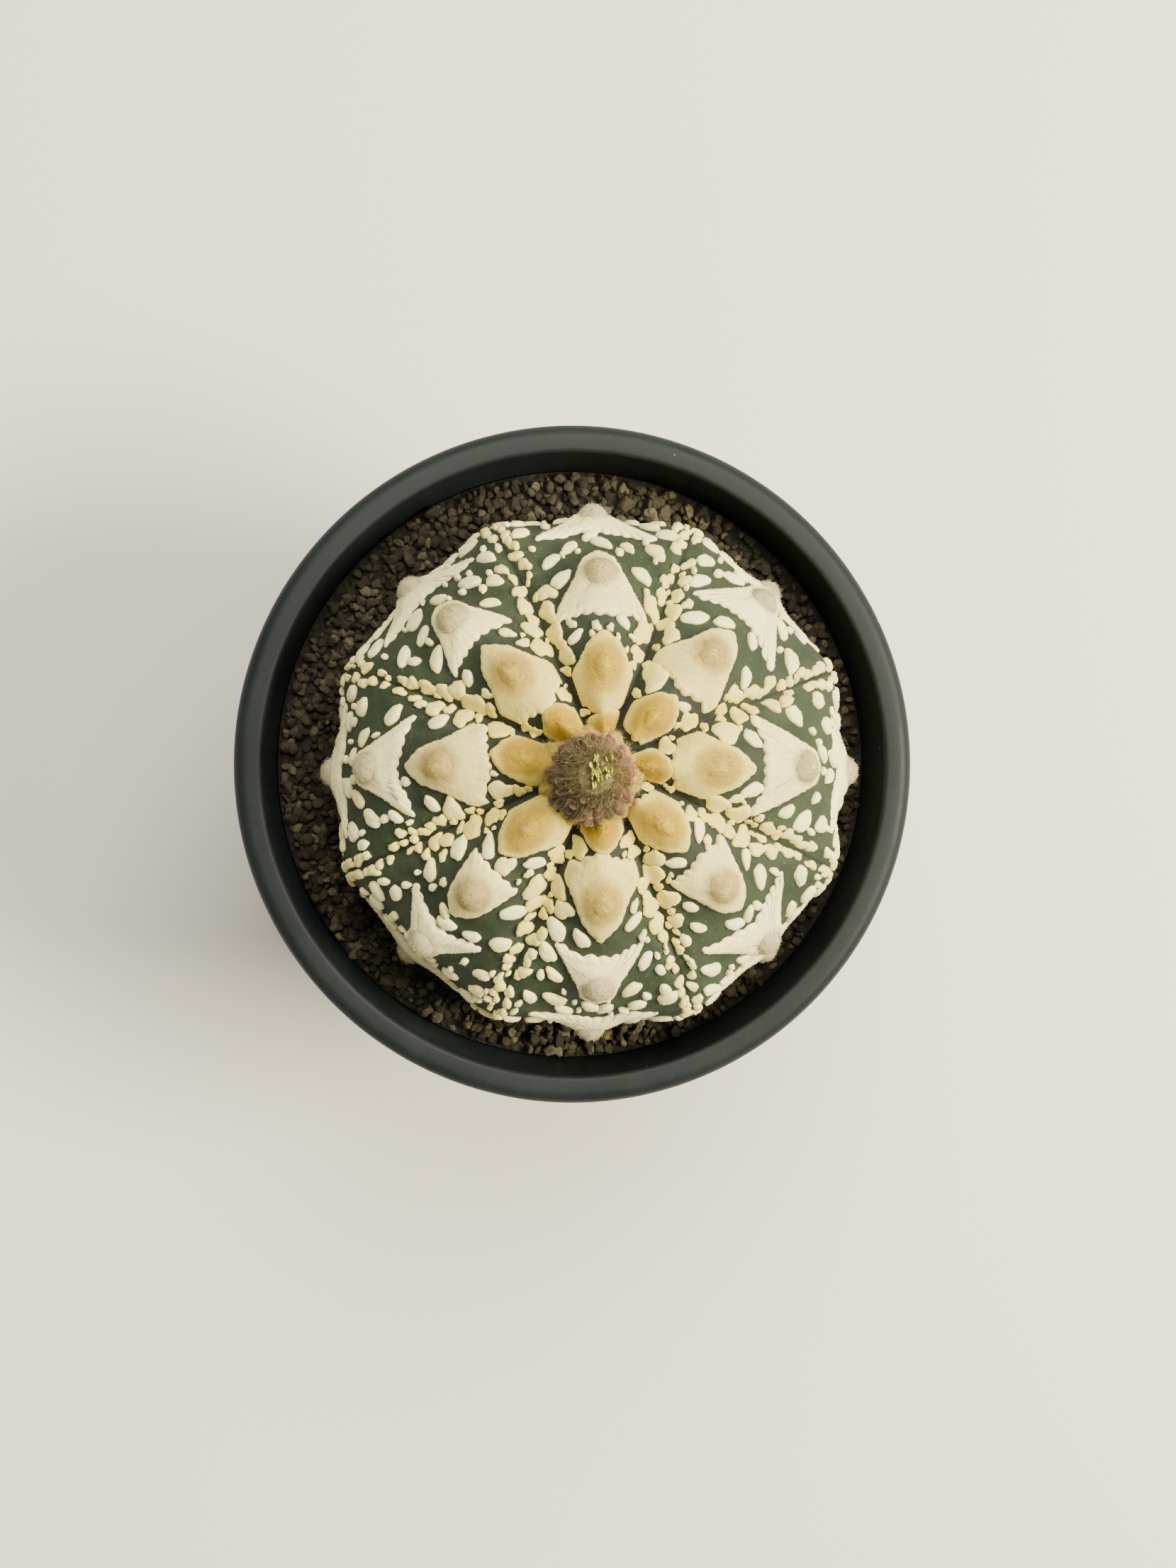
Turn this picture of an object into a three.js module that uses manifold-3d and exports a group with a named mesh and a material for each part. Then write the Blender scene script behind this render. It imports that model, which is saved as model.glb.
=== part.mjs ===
// A star cactus with eight ribs, white felt marks and a flower bud, growing in gritty soil in a
// round plastic pot. Millimetres, +Z up, origin at the centre of the pot's foot.
import * as THREE from "three";
import { mergeVertices } from "three/addons/utils/BufferGeometryUtils.js";
import Module from "manifold-3d";

const wasm = await Module();
wasm.setup();

// Pot
const POT_HEIGHT = 88;
const RIM_RADIUS = 55;
const RIM_WIDTH = 4.6;
const RIM_LIP = 2.2;
const RIM_EDGE = 0.8;
const COLLAR_HEIGHT = 12;
const COLLAR_THICKNESS = 1.7;
const COLLAR_TAPER = 0.6;
const WALL = 1.6;
const BASE_RADIUS = 40;
const FLOOR_LIFT = 3;
const FLOOR_TOP = FLOOR_LIFT + 2;
const FOOT_WIDTH = 3;
const MOUTH_RADIUS = RIM_RADIUS - RIM_WIDTH;
const POT_SIDES = 64;
const DRAIN_RADIUS = 4.5;
const DRAIN_CIRCLE = 22;
const DRAIN_COUNT = 6;
const DRAIN_SIDES = 16;

// Soil
const SOIL_DEPTH = 11;
const SOIL_LEVEL = POT_HEIGHT - SOIL_DEPTH;
const SOIL_RING_STEP = 2.2;
const SOIL_RING_COUNT = 8;
const GRIT_RELIEF = 0.7;
const GRIT_PITCH = 4;
const CLEARANCE = 0.35;

// Cactus body
const RIBS = 8;
const BODY_RADIUS = 39.1;
const CROWN_HEIGHT = 27;
const KEEL_DEPTH = 24.3;
const GIRTH_LEVEL = SOIL_LEVEL + 14;
const ROUNDNESS = 2.2;
const DIMPLE_DEPTH = 3.2;
const DIMPLE_RADIUS = 7;
const BODY_CENTRE = new THREE.Vector2(2.1, -1.3);
const CROWN_LEAN = new THREE.Vector2(0.5, 1.4);
const RIB_SWELL = 0.9;
const RIB_CORNER = 3.3;
const FURROW_DEPTH_TOP = 1.4;
const FURROW_DEPTH_SIDE = 0.6;
const FURROW_WIDTH = 1.4;
const FELT_REACH = 0.84;
const TUBERCLE_HEIGHT = 1.7;
const TUBERCLE_RADIUS = 4.6;
const TAPROOT_RADIUS = 7;
const TAPROOT_TIP = 38;
const FIRST_ROW = 3.4;
const ROW_STEP = 4;

// Each rib's areoles from the crown down, as the distance along the skin, how far the inner arms of
// the areole's felt patch reach, and how many degrees it stands off the rib's crest. Ribs run
// anticlockwise from +X.
const AREOLES = [
  [[7.5, 1.05, -5], [17.2, 1.12, -1.5], [32, 1.15, 0], [49.5, 1, 0], [62.5, 1, 0]],
  [[10.6, 1, -2.5], [23.2, 1.1, 0], [39, 1.05, 0], [55, 1, 0]],
  [[5.6, 1, -7], [14.6, 1.25, -1], [29.5, 1.1, 0], [46.5, 1, 0], [60.5, 1, 0]],
  [[8.6, 1, 0], [18.8, 1.08, 0], [32.2, 0.9, 0], [48, 1, 0], [61, 1, 0]],
  [[12, 1, -5.5], [24, 1.12, 0], [37.2, 1, 0], [53, 1, 0]],
  [[14.6, 1.1, -4.5], [27.2, 0.75, 0], [41.5, 0.85, 0], [57, 1, 0]],
  [[9.6, 1, 0], [20.4, 1.05, 0], [35, 0.92, 0], [51.5, 1, 0], [63, 1, 0]],
  [[12.8, 1.05, 0], [25.8, 0.9, 0], [41.5, 1, 0], [57, 1, 0]],
];

// Half outlines of an areole's felt patch, from its outer tip round to the middle of its inner
// edge: a kite near the crown, a triangle further out, and a chevron with long arms at the girth.
const PATCH_STAGES = [
  { at: 8, half: [[0, 3.4], [1.6, 2.6], [2.8, 0.6], [2.9, -1.2], [2.5, -2.8], [1.4, -3.4], [0, -3.6]] },
  { at: 13, half: [[0, 5.4], [2.3, 3.6], [3.8, 0.6], [4.5, -1.8], [4.4, -3.6], [2.6, -4.2], [0, -4.8]] },
  { at: 19, half: [[0, 7], [2.7, 3.9], [4, 0.2], [5.6, -3], [6, -5], [3.3, -5.2], [0, -6.8]] },
  { at: 26, half: [[0, 6.2], [2.4, 4], [3.6, 0.2], [5.3, -3.6], [6, -5.8], [3.3, -5.4], [0, -6.4]] },
  { at: 33, half: [[0, 5], [2.3, 3.2], [3.3, -0.2], [5.6, -4.7], [6.8, -7.2], [3.3, -5.7], [0, -5.5]] },
  { at: 41, half: [[0, 4.3], [2.4, 2.6], [3.3, -0.7], [6.7, -6], [8.1, -8.3], [3.4, -5.9], [0, -4.9]] },
  { at: 58, half: [[0, 3.6], [2.4, 2.3], [3.4, -0.8], [8, -4.9], [9.8, -6.8], [4, -5], [0, -3.8]] },
];
const FELT_EDGE = 0.6;
const FELT_ROOT = -1.6;
const FELT_MIDDLE = 0.8;
const WOOL_RADIUS_YOUNG = 2.9;
const WOOL_RADIUS_OLD = 2.3;
const WOOL_HEIGHT_YOUNG = 1.4;
const WOOL_HEIGHT_OLD = 2;

// Felt flecks
const FLECK_START = 13;
const FLECK_END = 62;
const FLECK_TRIES = 260;
const FLECKS_MODELLED = 4;
const FLECK_LENGTH = 4.2;
const FLECK_WIDTH = 2.4;
const FLECK_HEIGHT = 0.9;
const FLECK_SIDES = 6;
const FLECK_GAP = 0.9;
const FLECK_SPACING = 4.4;
const FLECK_SLANT = 0.7;
const FURROW_MARGIN = 1.9;

// Flower bud
const BUD_OFFSET = new THREE.Vector2(-2, -2.4);
const BUD_LEAN = new THREE.Vector2(0.5, 0.9);
const BUD_RADIUS = 5.6;
const BUD_HEIGHT = 12.5;
const BUD_SEAT = 0.7;
const BUD_SIDES = 16;
const SCALE_COUNT = 42;
const SCALE_LENGTH = 3.6;
const SCALE_WIDTH = 1.9;
const SCALE_THICKNESS = 0.8;
const GOLDEN_ANGLE = Math.PI * (3 - Math.sqrt(5));
const PETAL_COUNT = 9;
const PETAL_SPREAD = 2.6;
const PETAL_FOOT = 0.8;
const PETAL_WIDTH = 1.8;
const PETAL_THICKNESS = 0.8;
const PETAL_RISE = 1.6;

const smooth = (low, high, value) => THREE.MathUtils.smoothstep(value, low, high);
const mix = THREE.MathUtils.lerp;

// A repeatable number from 0 to 1 for each whole number.
function draw(n) {
  const spread = Math.sin(n * 12.9898 + 4.1414) * 43758.5453;
  return spread - Math.floor(spread);
}

// A closed solid from a geometry whose shared corners may be split.
function solidOf(geometry) {
  const bare = geometry.clone();
  bare.deleteAttribute("normal");
  bare.deleteAttribute("uv");
  const merged = mergeVertices(bare, 1e-3);
  return new wasm.Manifold(
    new wasm.Mesh({
      numProp: 3,
      vertProperties: new Float32Array(merged.attributes.position.array),
      triVerts: new Uint32Array(merged.index.array),
    }),
  );
}

function geometryOf(solid) {
  const { vertProperties, triVerts } = solid.getMesh();
  return new THREE.BufferGeometry()
    .setAttribute("position", new THREE.BufferAttribute(vertProperties, 3))
    .setIndex(new THREE.BufferAttribute(triVerts, 1));
}

// A LatheGeometry turned so that its axis is Z.
function turned(profile, sides) {
  const points = profile.map(([r, z]) => new THREE.Vector2(r, z));
  return new THREE.LatheGeometry(points, sides).rotateX(Math.PI / 2);
}

// A closed skin through rings of equal length, with a single point before the first and after the
// last. The rings run anticlockwise seen from the end point.
function skinOf(start, rings, end) {
  const sides = rings[0].length;
  const corners = [start, ...rings.flat(), end];
  const last = corners.length - 1;
  const faces = [];
  for (let i = 0; i < sides; i++) {
    const j = (i + 1) % sides;
    faces.push(0, 1 + j, 1 + i);
    for (let k = 0; k < rings.length - 1; k++) {
      const a = 1 + k * sides + i;
      const b = 1 + k * sides + j;
      faces.push(a, b, b + sides, a, b + sides, a + sides);
    }
    faces.push(last - sides + i, last - sides + j, last);
  }
  return new THREE.BufferGeometry().setFromPoints(corners).setIndex(faces);
}

// Radius and height of the plain body at an angle from the crown, before ribs and felt.
function outlineAt(turn) {
  const power = 2 / ROUNDNESS;
  const across = Math.sin(turn) ** power;
  const along = Math.sign(Math.cos(turn)) * Math.abs(Math.cos(turn)) ** power;
  const r = BODY_RADIUS * across;
  const dimple = DIMPLE_DEPTH * Math.exp(-((r / DIMPLE_RADIUS) ** 2));
  const reach = along > 0 ? CROWN_HEIGHT : KEEL_DEPTH;
  return new THREE.Vector2(r, GIRTH_LEVEL + along * reach - (along > 0 ? dimple : 0));
}

// The outline measured along the skin, so that a distance from the crown gives a place and a normal.
const OUTLINE_STEPS = 600;
const outline = [];
for (let i = 0, distance = 0; i <= OUTLINE_STEPS; i++) {
  const point = outlineAt((Math.PI * Math.min(i + 1e-6, OUTLINE_STEPS - 1e-6)) / OUTLINE_STEPS);
  if (i) distance += point.distanceTo(outline[i - 1].point);
  outline.push({ distance, point });
}

function meridian(distance) {
  const found = outline.findIndex((step) => step.distance >= distance);
  const i = found < 0 ? OUTLINE_STEPS : Math.max(1, found);
  const [before, after] = [outline[i - 1], outline[i]];
  const share = (distance - before.distance) / (after.distance - before.distance);
  const point = before.point.clone().lerp(after.point, share);
  const along = after.point.clone().sub(before.point).normalize();
  return { point, normal: new THREE.Vector2(-along.y, along.x) };
}

const SOIL_LINE = outline.find(({ point }) => point.y < SOIL_LEVEL).distance;

// Where the body's middle stands at a height: it is set off the pot's axis and leans at the crown.
function middleAt(z) {
  const share = Math.max(0, z - GIRTH_LEVEL) / CROWN_HEIGHT;
  return BODY_CENTRE.clone().addScaledVector(CROWN_LEAN, share);
}

// How far the ribs, furrows and tubercles stand out of the plain body. The ribs are ridges on the
// crown and flats between blunt corners at the girth.
function reliefAt(angle, distance) {
  const { x: r } = meridian(distance).point;
  const ribPitch = (2 * Math.PI) / RIBS;
  const fromCrest = angle - ribPitch * Math.round(angle / ribPitch);
  const ridge = RIB_SWELL * Math.cos(RIBS * angle) * smooth(0, 9, distance);
  const corner = RIB_CORNER * ((2 * fromCrest) / ribPitch) ** 2;
  const swell = mix(ridge, corner, smooth(22, 46, distance));
  const fromFurrow = r * (ribPitch / 2 - Math.abs(fromCrest));
  const depth = mix(FURROW_DEPTH_TOP, FURROW_DEPTH_SIDE, smooth(30, 52, distance)) * smooth(3, 10, distance);
  const furrow = depth * Math.exp(-((fromFurrow / FURROW_WIDTH) ** 2));
  const rib = (Math.round(angle / ribPitch) + RIBS) % RIBS;
  let tubercle = 0;
  for (const [at, , aside] of AREOLES[rib]) {
    const across = r * (fromCrest - THREE.MathUtils.degToRad(aside));
    const away = Math.hypot(across, distance - at) / TUBERCLE_RADIUS;
    tubercle += TUBERCLE_HEIGHT * smooth(-6, 24, at) * Math.exp(-(away ** 2));
  }
  const shown = 1 - smooth(SOIL_LINE - 6, SOIL_LINE - 1.5, distance);
  return shown * (swell - furrow + tubercle);
}

function skinPoint(angle, distance, lift = 0) {
  const { point, normal } = meridian(distance);
  const out = reliefAt(angle, distance) + lift;
  const r = point.x + normal.x * out;
  const z = point.y + normal.y * out;
  const middle = middleAt(point.y);
  return new THREE.Vector3(middle.x + r * Math.cos(angle), middle.y + r * Math.sin(angle), z);
}

// A point on or off the skin, named by a rib, a place on it given as areoles are, and small steps
// sideways, outwards and off the skin from there, in millimetres. Felt stops short of the furrows.
function localPoint(rib, [distance, , aside], side, out, lift) {
  const stretch = distance / meridian(distance).point.x;
  const crest = (rib * 2 * Math.PI) / RIBS;
  const limit = (FELT_REACH * Math.PI) / RIBS;
  const turn = THREE.MathUtils.degToRad(aside) + Math.atan2(side * stretch, distance + out);
  const held = THREE.MathUtils.clamp(turn, -limit, limit);
  return skinPoint(crest + held, Math.hypot(side * stretch, distance + out), lift);
}

// The felt patch's half outline for an areole at a distance from the crown, mirrored to a whole one
// that runs anticlockwise seen from outside, as [side, out] steps from the areole.
function patchOutline([distance, arms]) {
  const found = PATCH_STAGES.findIndex((stage) => stage.at > distance);
  const next = found < 0 ? PATCH_STAGES.length - 1 : Math.max(1, found);
  const [young, old] = [PATCH_STAGES[next - 1], PATCH_STAGES[next]];
  const share = THREE.MathUtils.clamp((distance - young.at) / (old.at - young.at), 0, 1);
  const half = young.half.map(([youngX, youngY], i) => {
    const [x, y] = [mix(youngX, old.half[i][0], share), mix(youngY, old.half[i][1], share)];
    return y < 0 ? [x * arms, y * arms] : [x, y];
  });
  const mirrored = half.slice(1, -1).map(([x, y]) => [-x, y]);
  return [...half, ...mirrored.reverse()];
}

// An areole's patch of felt, with the round tuft of wool that stands on it. Old tufts are narrower
// and stand up more.
function patchSolid(rib, areole) {
  const [distance] = areole;
  const edge = patchOutline(areole);
  const age = smooth(20, 40, distance);
  const wool = Math.min(mix(WOOL_RADIUS_YOUNG, WOOL_RADIUS_OLD, age), 1.6 + distance * 0.09);
  const height = mix(WOOL_HEIGHT_YOUNG, WOOL_HEIGHT_OLD, age);
  const tuft = (radius) => edge.map(([x, y]) => [x, y].map((v) => (v * radius) / Math.hypot(x, y)));
  const ring = (steps, lift) => steps.map(([x, y]) => localPoint(rib, areole, x, y, lift));
  const rings = [
    ring(edge, FELT_ROOT),
    ring(edge, FELT_EDGE),
    ring(tuft(wool), FELT_MIDDLE),
    ring(tuft(wool * 0.72), height),
  ];
  const start = localPoint(rib, areole, 0, 0, FELT_ROOT);
  const end = localPoint(rib, areole, 0, 0, height + 0.2);
  return solidOf(skinOf(start, rings, end));
}

function fleckSolid({ rib, distance, side, length, width, slant }) {
  const place = [distance, 1, 0];
  const ring = (share, lift) =>
    Array.from({ length: FLECK_SIDES }, (_, i) => {
      const turn = (-2 * Math.PI * i) / FLECK_SIDES;
      const along = (length / 2) * share * Math.cos(turn);
      const across = (width / 2) * share * Math.sin(turn);
      const x = along * Math.cos(slant) - across * Math.sin(slant);
      const y = along * Math.sin(slant) + across * Math.cos(slant);
      return localPoint(rib, place, side + x, y, lift);
    });
  const start = localPoint(rib, place, side, 0, FELT_ROOT);
  const end = localPoint(rib, place, side, 0, FLECK_HEIGHT);
  return solidOf(skinOf(start, [ring(1, FELT_ROOT), ring(0.92, FELT_EDGE)], end));
}

// How far a step from an areole lies outside its patch's outline. It is negative inside.
function outsidePatch(edge, across, out) {
  const here = new THREE.Vector3(across, out, 0);
  const nearest = new THREE.Vector3();
  let away = Infinity;
  let inside = false;
  edge.forEach(([x, y], i) => {
    const [px, py] = edge[(i + 1) % edge.length];
    const side = new THREE.Line3(new THREE.Vector3(x, y, 0), new THREE.Vector3(px, py, 0));
    side.closestPointToPoint(here, true, nearest);
    away = Math.min(away, nearest.distanceTo(here));
    if (y > out !== py > out && across < ((px - x) * (out - y)) / (py - y) + x) inside = !inside;
  });
  return inside ? -away : away;
}

// Flecks are thrown at a rib's half and kept where they clear its patches and each other.
function fleckPlaces(rib, hand) {
  const placed = [];
  const patches = AREOLES[rib].map((areole) => ({ areole, edge: patchOutline(areole) }));
  for (let n = 0; n < FLECK_TRIES && placed.length < FLECKS_MODELLED; n++) {
    const key = ((rib * 2 + (hand > 0 ? 1 : 0)) * FLECK_TRIES + n) * 5;
    const distance = mix(FLECK_START, FLECK_END, draw(key));
    const { x: r } = meridian(distance).point;
    const size = 0.72 + 0.36 * draw(key + 1);
    const room = (Math.PI / RIBS) * r - FURROW_MARGIN - FLECK_WIDTH / 2;
    const side = hand * room * draw(key + 2);
    const slant = -hand * (FLECK_SLANT + 0.5 * (draw(key + 3) - 0.5));
    const clear = patches.every(({ areole: [at, , aside], edge }) => {
      const stretch = at / meridian(at).point.x;
      const turn = side / r - THREE.MathUtils.degToRad(aside);
      const x = (distance * Math.sin(turn)) / stretch;
      const y = distance * Math.cos(turn) - at;
      return outsidePatch(edge, x, y) > FLECK_GAP + (FLECK_WIDTH / 2) * size;
    });
    const apart = placed.every((f) => Math.hypot(f.distance - distance, f.side - side) > FLECK_SPACING);
    if (!clear || !apart || room < 2) continue;
    placed.push({ rib, distance, side, slant, length: FLECK_LENGTH * size, width: FLECK_WIDTH * size });
  }
  return placed;
}

// The body's plain shape from a little above the soil down to the taproot's tip, as [radius, height]
// pairs grown by a clearance.
function rootOutline(clearance) {
  const bowl = [];
  for (let distance = SOIL_LINE - 8; meridian(distance).point.x > TAPROOT_RADIUS + 4; distance += 8) {
    const { point, normal } = meridian(distance);
    bowl.push([point.x + normal.x * clearance, point.y + normal.y * clearance]);
  }
  const neck = [TAPROOT_RADIUS + clearance, bowl.at(-1)[1] - 5];
  return [...bowl, neck, [TAPROOT_RADIUS / 4 + clearance, TAPROOT_TIP - clearance]];
}

// Outer radius of the pot's tapering wall at a height.
function wallAt(z) {
  return BASE_RADIUS + ((MOUTH_RADIUS + WALL - BASE_RADIUS) * z) / POT_HEIGHT;
}

// A thin wall with a collar that hangs from the rim like a hem, standing on a foot ring.
function potSolid() {
  const collarFoot = POT_HEIGHT - COLLAR_HEIGHT;
  const collarTop = POT_HEIGHT - RIM_LIP - 1;
  const lip = [0, 0.5, 1].map((share) => {
    const turn = (share * Math.PI) / 2;
    return [RIM_RADIUS - RIM_LIP * (1 - Math.cos(turn)), POT_HEIGHT - RIM_LIP * (1 - Math.sin(turn))];
  });
  const profile = [
    [0, FLOOR_LIFT],
    [BASE_RADIUS - FOOT_WIDTH, FLOOR_LIFT],
    [BASE_RADIUS - FOOT_WIDTH, 0],
    [BASE_RADIUS, 0],
    [wallAt(collarTop), collarTop],
    [RIM_RADIUS - COLLAR_THICKNESS, collarTop],
    [RIM_RADIUS - COLLAR_THICKNESS - COLLAR_TAPER, collarFoot],
    [RIM_RADIUS - COLLAR_TAPER, collarFoot],
    ...lip,
    [MOUTH_RADIUS + RIM_EDGE, POT_HEIGHT],
    [MOUTH_RADIUS, POT_HEIGHT - RIM_EDGE],
    [wallAt(FLOOR_TOP) - WALL, FLOOR_TOP],
    [0, FLOOR_TOP],
  ];
  const shell = solidOf(turned(profile, POT_SIDES));
  const drain = new THREE.CylinderGeometry(DRAIN_RADIUS, DRAIN_RADIUS, 4 * FLOOR_TOP, DRAIN_SIDES);
  drain.rotateX(Math.PI / 2);
  const drains = [solidOf(drain)];
  for (let i = 0; i < DRAIN_COUNT; i++) {
    const turn = (2 * Math.PI * i) / DRAIN_COUNT;
    const placed = drain.clone().translate(DRAIN_CIRCLE * Math.cos(turn), DRAIN_CIRCLE * Math.sin(turn), 0);
    drains.push(solidOf(placed));
  }
  return shell.subtract(wasm.Manifold.union(drains));
}

// Height of the grit above the soil's level: two crossed ripples, bent so that they read as lumps.
function gritAt(x, y) {
  const pitch = (2 * Math.PI) / GRIT_PITCH;
  return GRIT_RELIEF * Math.sin(pitch * x + 1.7 * Math.sin(y)) * Math.sin(pitch * y + 1.7 * Math.sin(x));
}

function soilSolid() {
  const foot = FLOOR_TOP + CLEARANCE;
  const sideAt = (z) => wallAt(z) - WALL - CLEARANCE;
  const edge = sideAt(SOIL_LEVEL);
  const surface = Array.from({ length: SOIL_RING_COUNT }, (_, i) => [edge - i * SOIL_RING_STEP, SOIL_LEVEL]);
  const bed = turned([[0, foot], [sideAt(foot), foot], ...surface, [0, SOIL_LEVEL]], POT_SIDES);
  const places = bed.attributes.position;
  for (let i = 0; i < places.count; i++) {
    const [x, y, z] = [places.getX(i), places.getY(i), places.getZ(i)];
    const open = smooth(0, SOIL_RING_STEP, edge - Math.hypot(x, y));
    if (z > SOIL_LEVEL - 1) places.setZ(i, z + open * gritAt(x, y));
  }
  const sides = rootOutline(CLEARANCE).reverse();
  const tip = [0, TAPROOT_TIP - CLEARANCE];
  const hole = turned([tip, ...sides, [0, sides.at(-1)[1]]], POT_SIDES);
  return solidOf(bed).subtract(solidOf(hole.translate(BODY_CENTRE.x, BODY_CENTRE.y, 0)));
}

// The skin's columns crowd towards each furrow, and its rows are even from the crown to the soil.
function bodySolid() {
  const ribPitch = (2 * Math.PI) / RIBS;
  const columns = [-0.82, -0.42, 0, 0.42, 0.82, 1];
  const angles = AREOLES.flatMap((_, rib) => columns.map((u) => (rib + u / 2) * ribPitch));
  const rings = [];
  for (let distance = FIRST_ROW; distance < SOIL_LINE; distance += ROW_STEP) {
    rings.push(angles.map((angle) => skinPoint(angle, distance)));
  }
  const middle = new THREE.Vector3(BODY_CENTRE.x, BODY_CENTRE.y, 0);
  for (const [r, z] of rootOutline(0).filter(([, level]) => level < SOIL_LEVEL - 1)) {
    const ring = angles.map((angle) => new THREE.Vector3(r * Math.cos(angle), r * Math.sin(angle), z));
    rings.push(ring.map((point) => point.add(middle)));
  }
  const tip = new THREE.Vector3(BODY_CENTRE.x, BODY_CENTRE.y, TAPROOT_TIP);
  const skin = solidOf(skinOf(tip, rings.reverse(), skinPoint(0, 0)));
  const patches = AREOLES.flatMap((row, rib) => row.map((areole) => patchSolid(rib, areole)));
  const places = AREOLES.flatMap((_, rib) => [...fleckPlaces(rib, -1), ...fleckPlaces(rib, 1)]);
  return wasm.Manifold.union([skin, ...patches, ...places.map(fleckSolid)]).subtract(budSocket());
}

// Radius of the bud at a share of its height.
function budRadius(share) {
  return BUD_RADIUS * (0.55 + 0.45 * smooth(0, 0.32, share)) * Math.sqrt(1 - Math.max(0, share) ** 3.2);
}

// A point about the bud's leaning middle line, at a radius and a share of its height.
function budPlace(turn, share, r) {
  const crown = skinPoint(0, 0);
  const x = crown.x + BUD_OFFSET.x + BUD_LEAN.x * share + r * Math.cos(turn);
  const y = crown.y + BUD_OFFSET.y + BUD_LEAN.y * share + r * Math.sin(turn);
  return new THREE.Vector3(x, y, crown.z + BUD_SEAT + BUD_HEIGHT * share);
}

const budPoint = (turn, share, lift) => budPlace(turn, share, budRadius(share) + lift);
const budTurns = Array.from({ length: BUD_SIDES }, (_, i) => (2 * Math.PI * i) / BUD_SIDES);
const budRing = (share, lift) => budTurns.map((turn) => budPoint(turn, share, lift));

// The hollow among the youngest patches that the bud stands in, a clearance wider than the bud.
function budSocket() {
  const lift = SCALE_THICKNESS + CLEARANCE;
  const foot = -CLEARANCE / BUD_HEIGHT;
  const rings = [foot, 0.15, 0.3, 0.5].map((share) => budRing(share, lift));
  return solidOf(skinOf(budPlace(0, foot, 0), rings, budPlace(0, 0.5, 0)));
}

// One scale of the bud: a thin pointed blade that leans out of the bud and follows it upwards.
function scaleSolid(n) {
  const share = 0.04 + 0.78 * ((n + 0.5) / SCALE_COUNT) ** 0.9;
  const turn = n * GOLDEN_ANGLE;
  const half = SCALE_WIDTH / 2 / Math.max(2, budRadius(share));
  const rise = SCALE_LENGTH / BUD_HEIGHT;
  const top = Math.min(0.97, share + rise * (1 - 0.35 * share));
  const ring = (at, spread, low, high) => [
    budPoint(turn + half * spread, at, low),
    budPoint(turn - half * spread, at, low),
    budPoint(turn, at, high),
  ];
  const rings = [ring(share, 1, -0.9, 0.35), ring(mix(share, top, 0.5), 1.05, -0.2, SCALE_THICKNESS)];
  return solidOf(skinOf(budPoint(turn, share - 0.01, -0.5), rings, budPoint(turn, top, 0.75)));
}

// One petal's pointed tip, which stands out of the bud's mouth and leans in.
function petalSolid(n) {
  const turn = n * GOLDEN_ANGLE;
  const outward = Math.sqrt((n + 0.5) / PETAL_COUNT);
  const inset = PETAL_SPREAD * outward;
  const top = 1 + (PETAL_RISE * (1 - outward / 2)) / BUD_HEIGHT;
  const ring = (share, r) => {
    const half = PETAL_WIDTH / 2 / (r + PETAL_THICKNESS);
    return [
      budPlace(turn, share, r + PETAL_THICKNESS),
      budPlace(turn + half, share, r + PETAL_THICKNESS / 2),
      budPlace(turn, share, r),
      budPlace(turn - half, share, r + PETAL_THICKNESS / 2),
    ];
  };
  const rings = [ring(PETAL_FOOT, inset), ring(mix(PETAL_FOOT, top, 0.7), inset * 0.9)];
  return solidOf(skinOf(budPlace(turn, PETAL_FOOT, inset + 0.1), rings, budPlace(turn, top, inset * 0.7)));
}

function budSolid() {
  const shares = [0, 0.15, 0.32, 0.5, 0.68, 0.82, 0.92, 0.98];
  const rings = shares.map((share) => budRing(share, 0));
  const core = solidOf(skinOf(budPlace(0, 0, 0), rings, budPlace(0, 1, 0)));
  const scales = Array.from({ length: SCALE_COUNT }, (_, n) => scaleSolid(n));
  const petals = Array.from({ length: PETAL_COUNT }, (_, n) => petalSolid(n));
  return wasm.Manifold.union([core, ...scales, ...petals]);
}

function named(name, solid, look) {
  const made = new THREE.Mesh(geometryOf(solid), new THREE.MeshStandardMaterial(look));
  made.name = name;
  return made;
}

const plant = new THREE.Group();
plant.add(named("pot", potSolid(), { color: 0x3c4244, roughness: 0.6, metalness: 0 }));
plant.add(named("soil", soilSolid(), { color: 0x40352a, roughness: 0.95, metalness: 0 }));
plant.add(named("cactus_body", bodySolid(), { color: 0x48603f, roughness: 0.6, metalness: 0 }));
plant.add(named("flower_bud", budSolid(), { color: 0x77604a, roughness: 0.8, metalness: 0 }));

export default plant;
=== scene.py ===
"""The looks of a potted star cactus: skin, felt, wool, flower bud, grit and pot.

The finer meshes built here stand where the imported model's plain solids are. Lengths in the classes
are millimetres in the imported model's frame, and each mesh is made in metres.
"""

import logging
import math
from dataclasses import dataclass, field
from enum import Enum

import bmesh
import bpy
import numpy as np
from mathutils import Matrix, Vector

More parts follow.
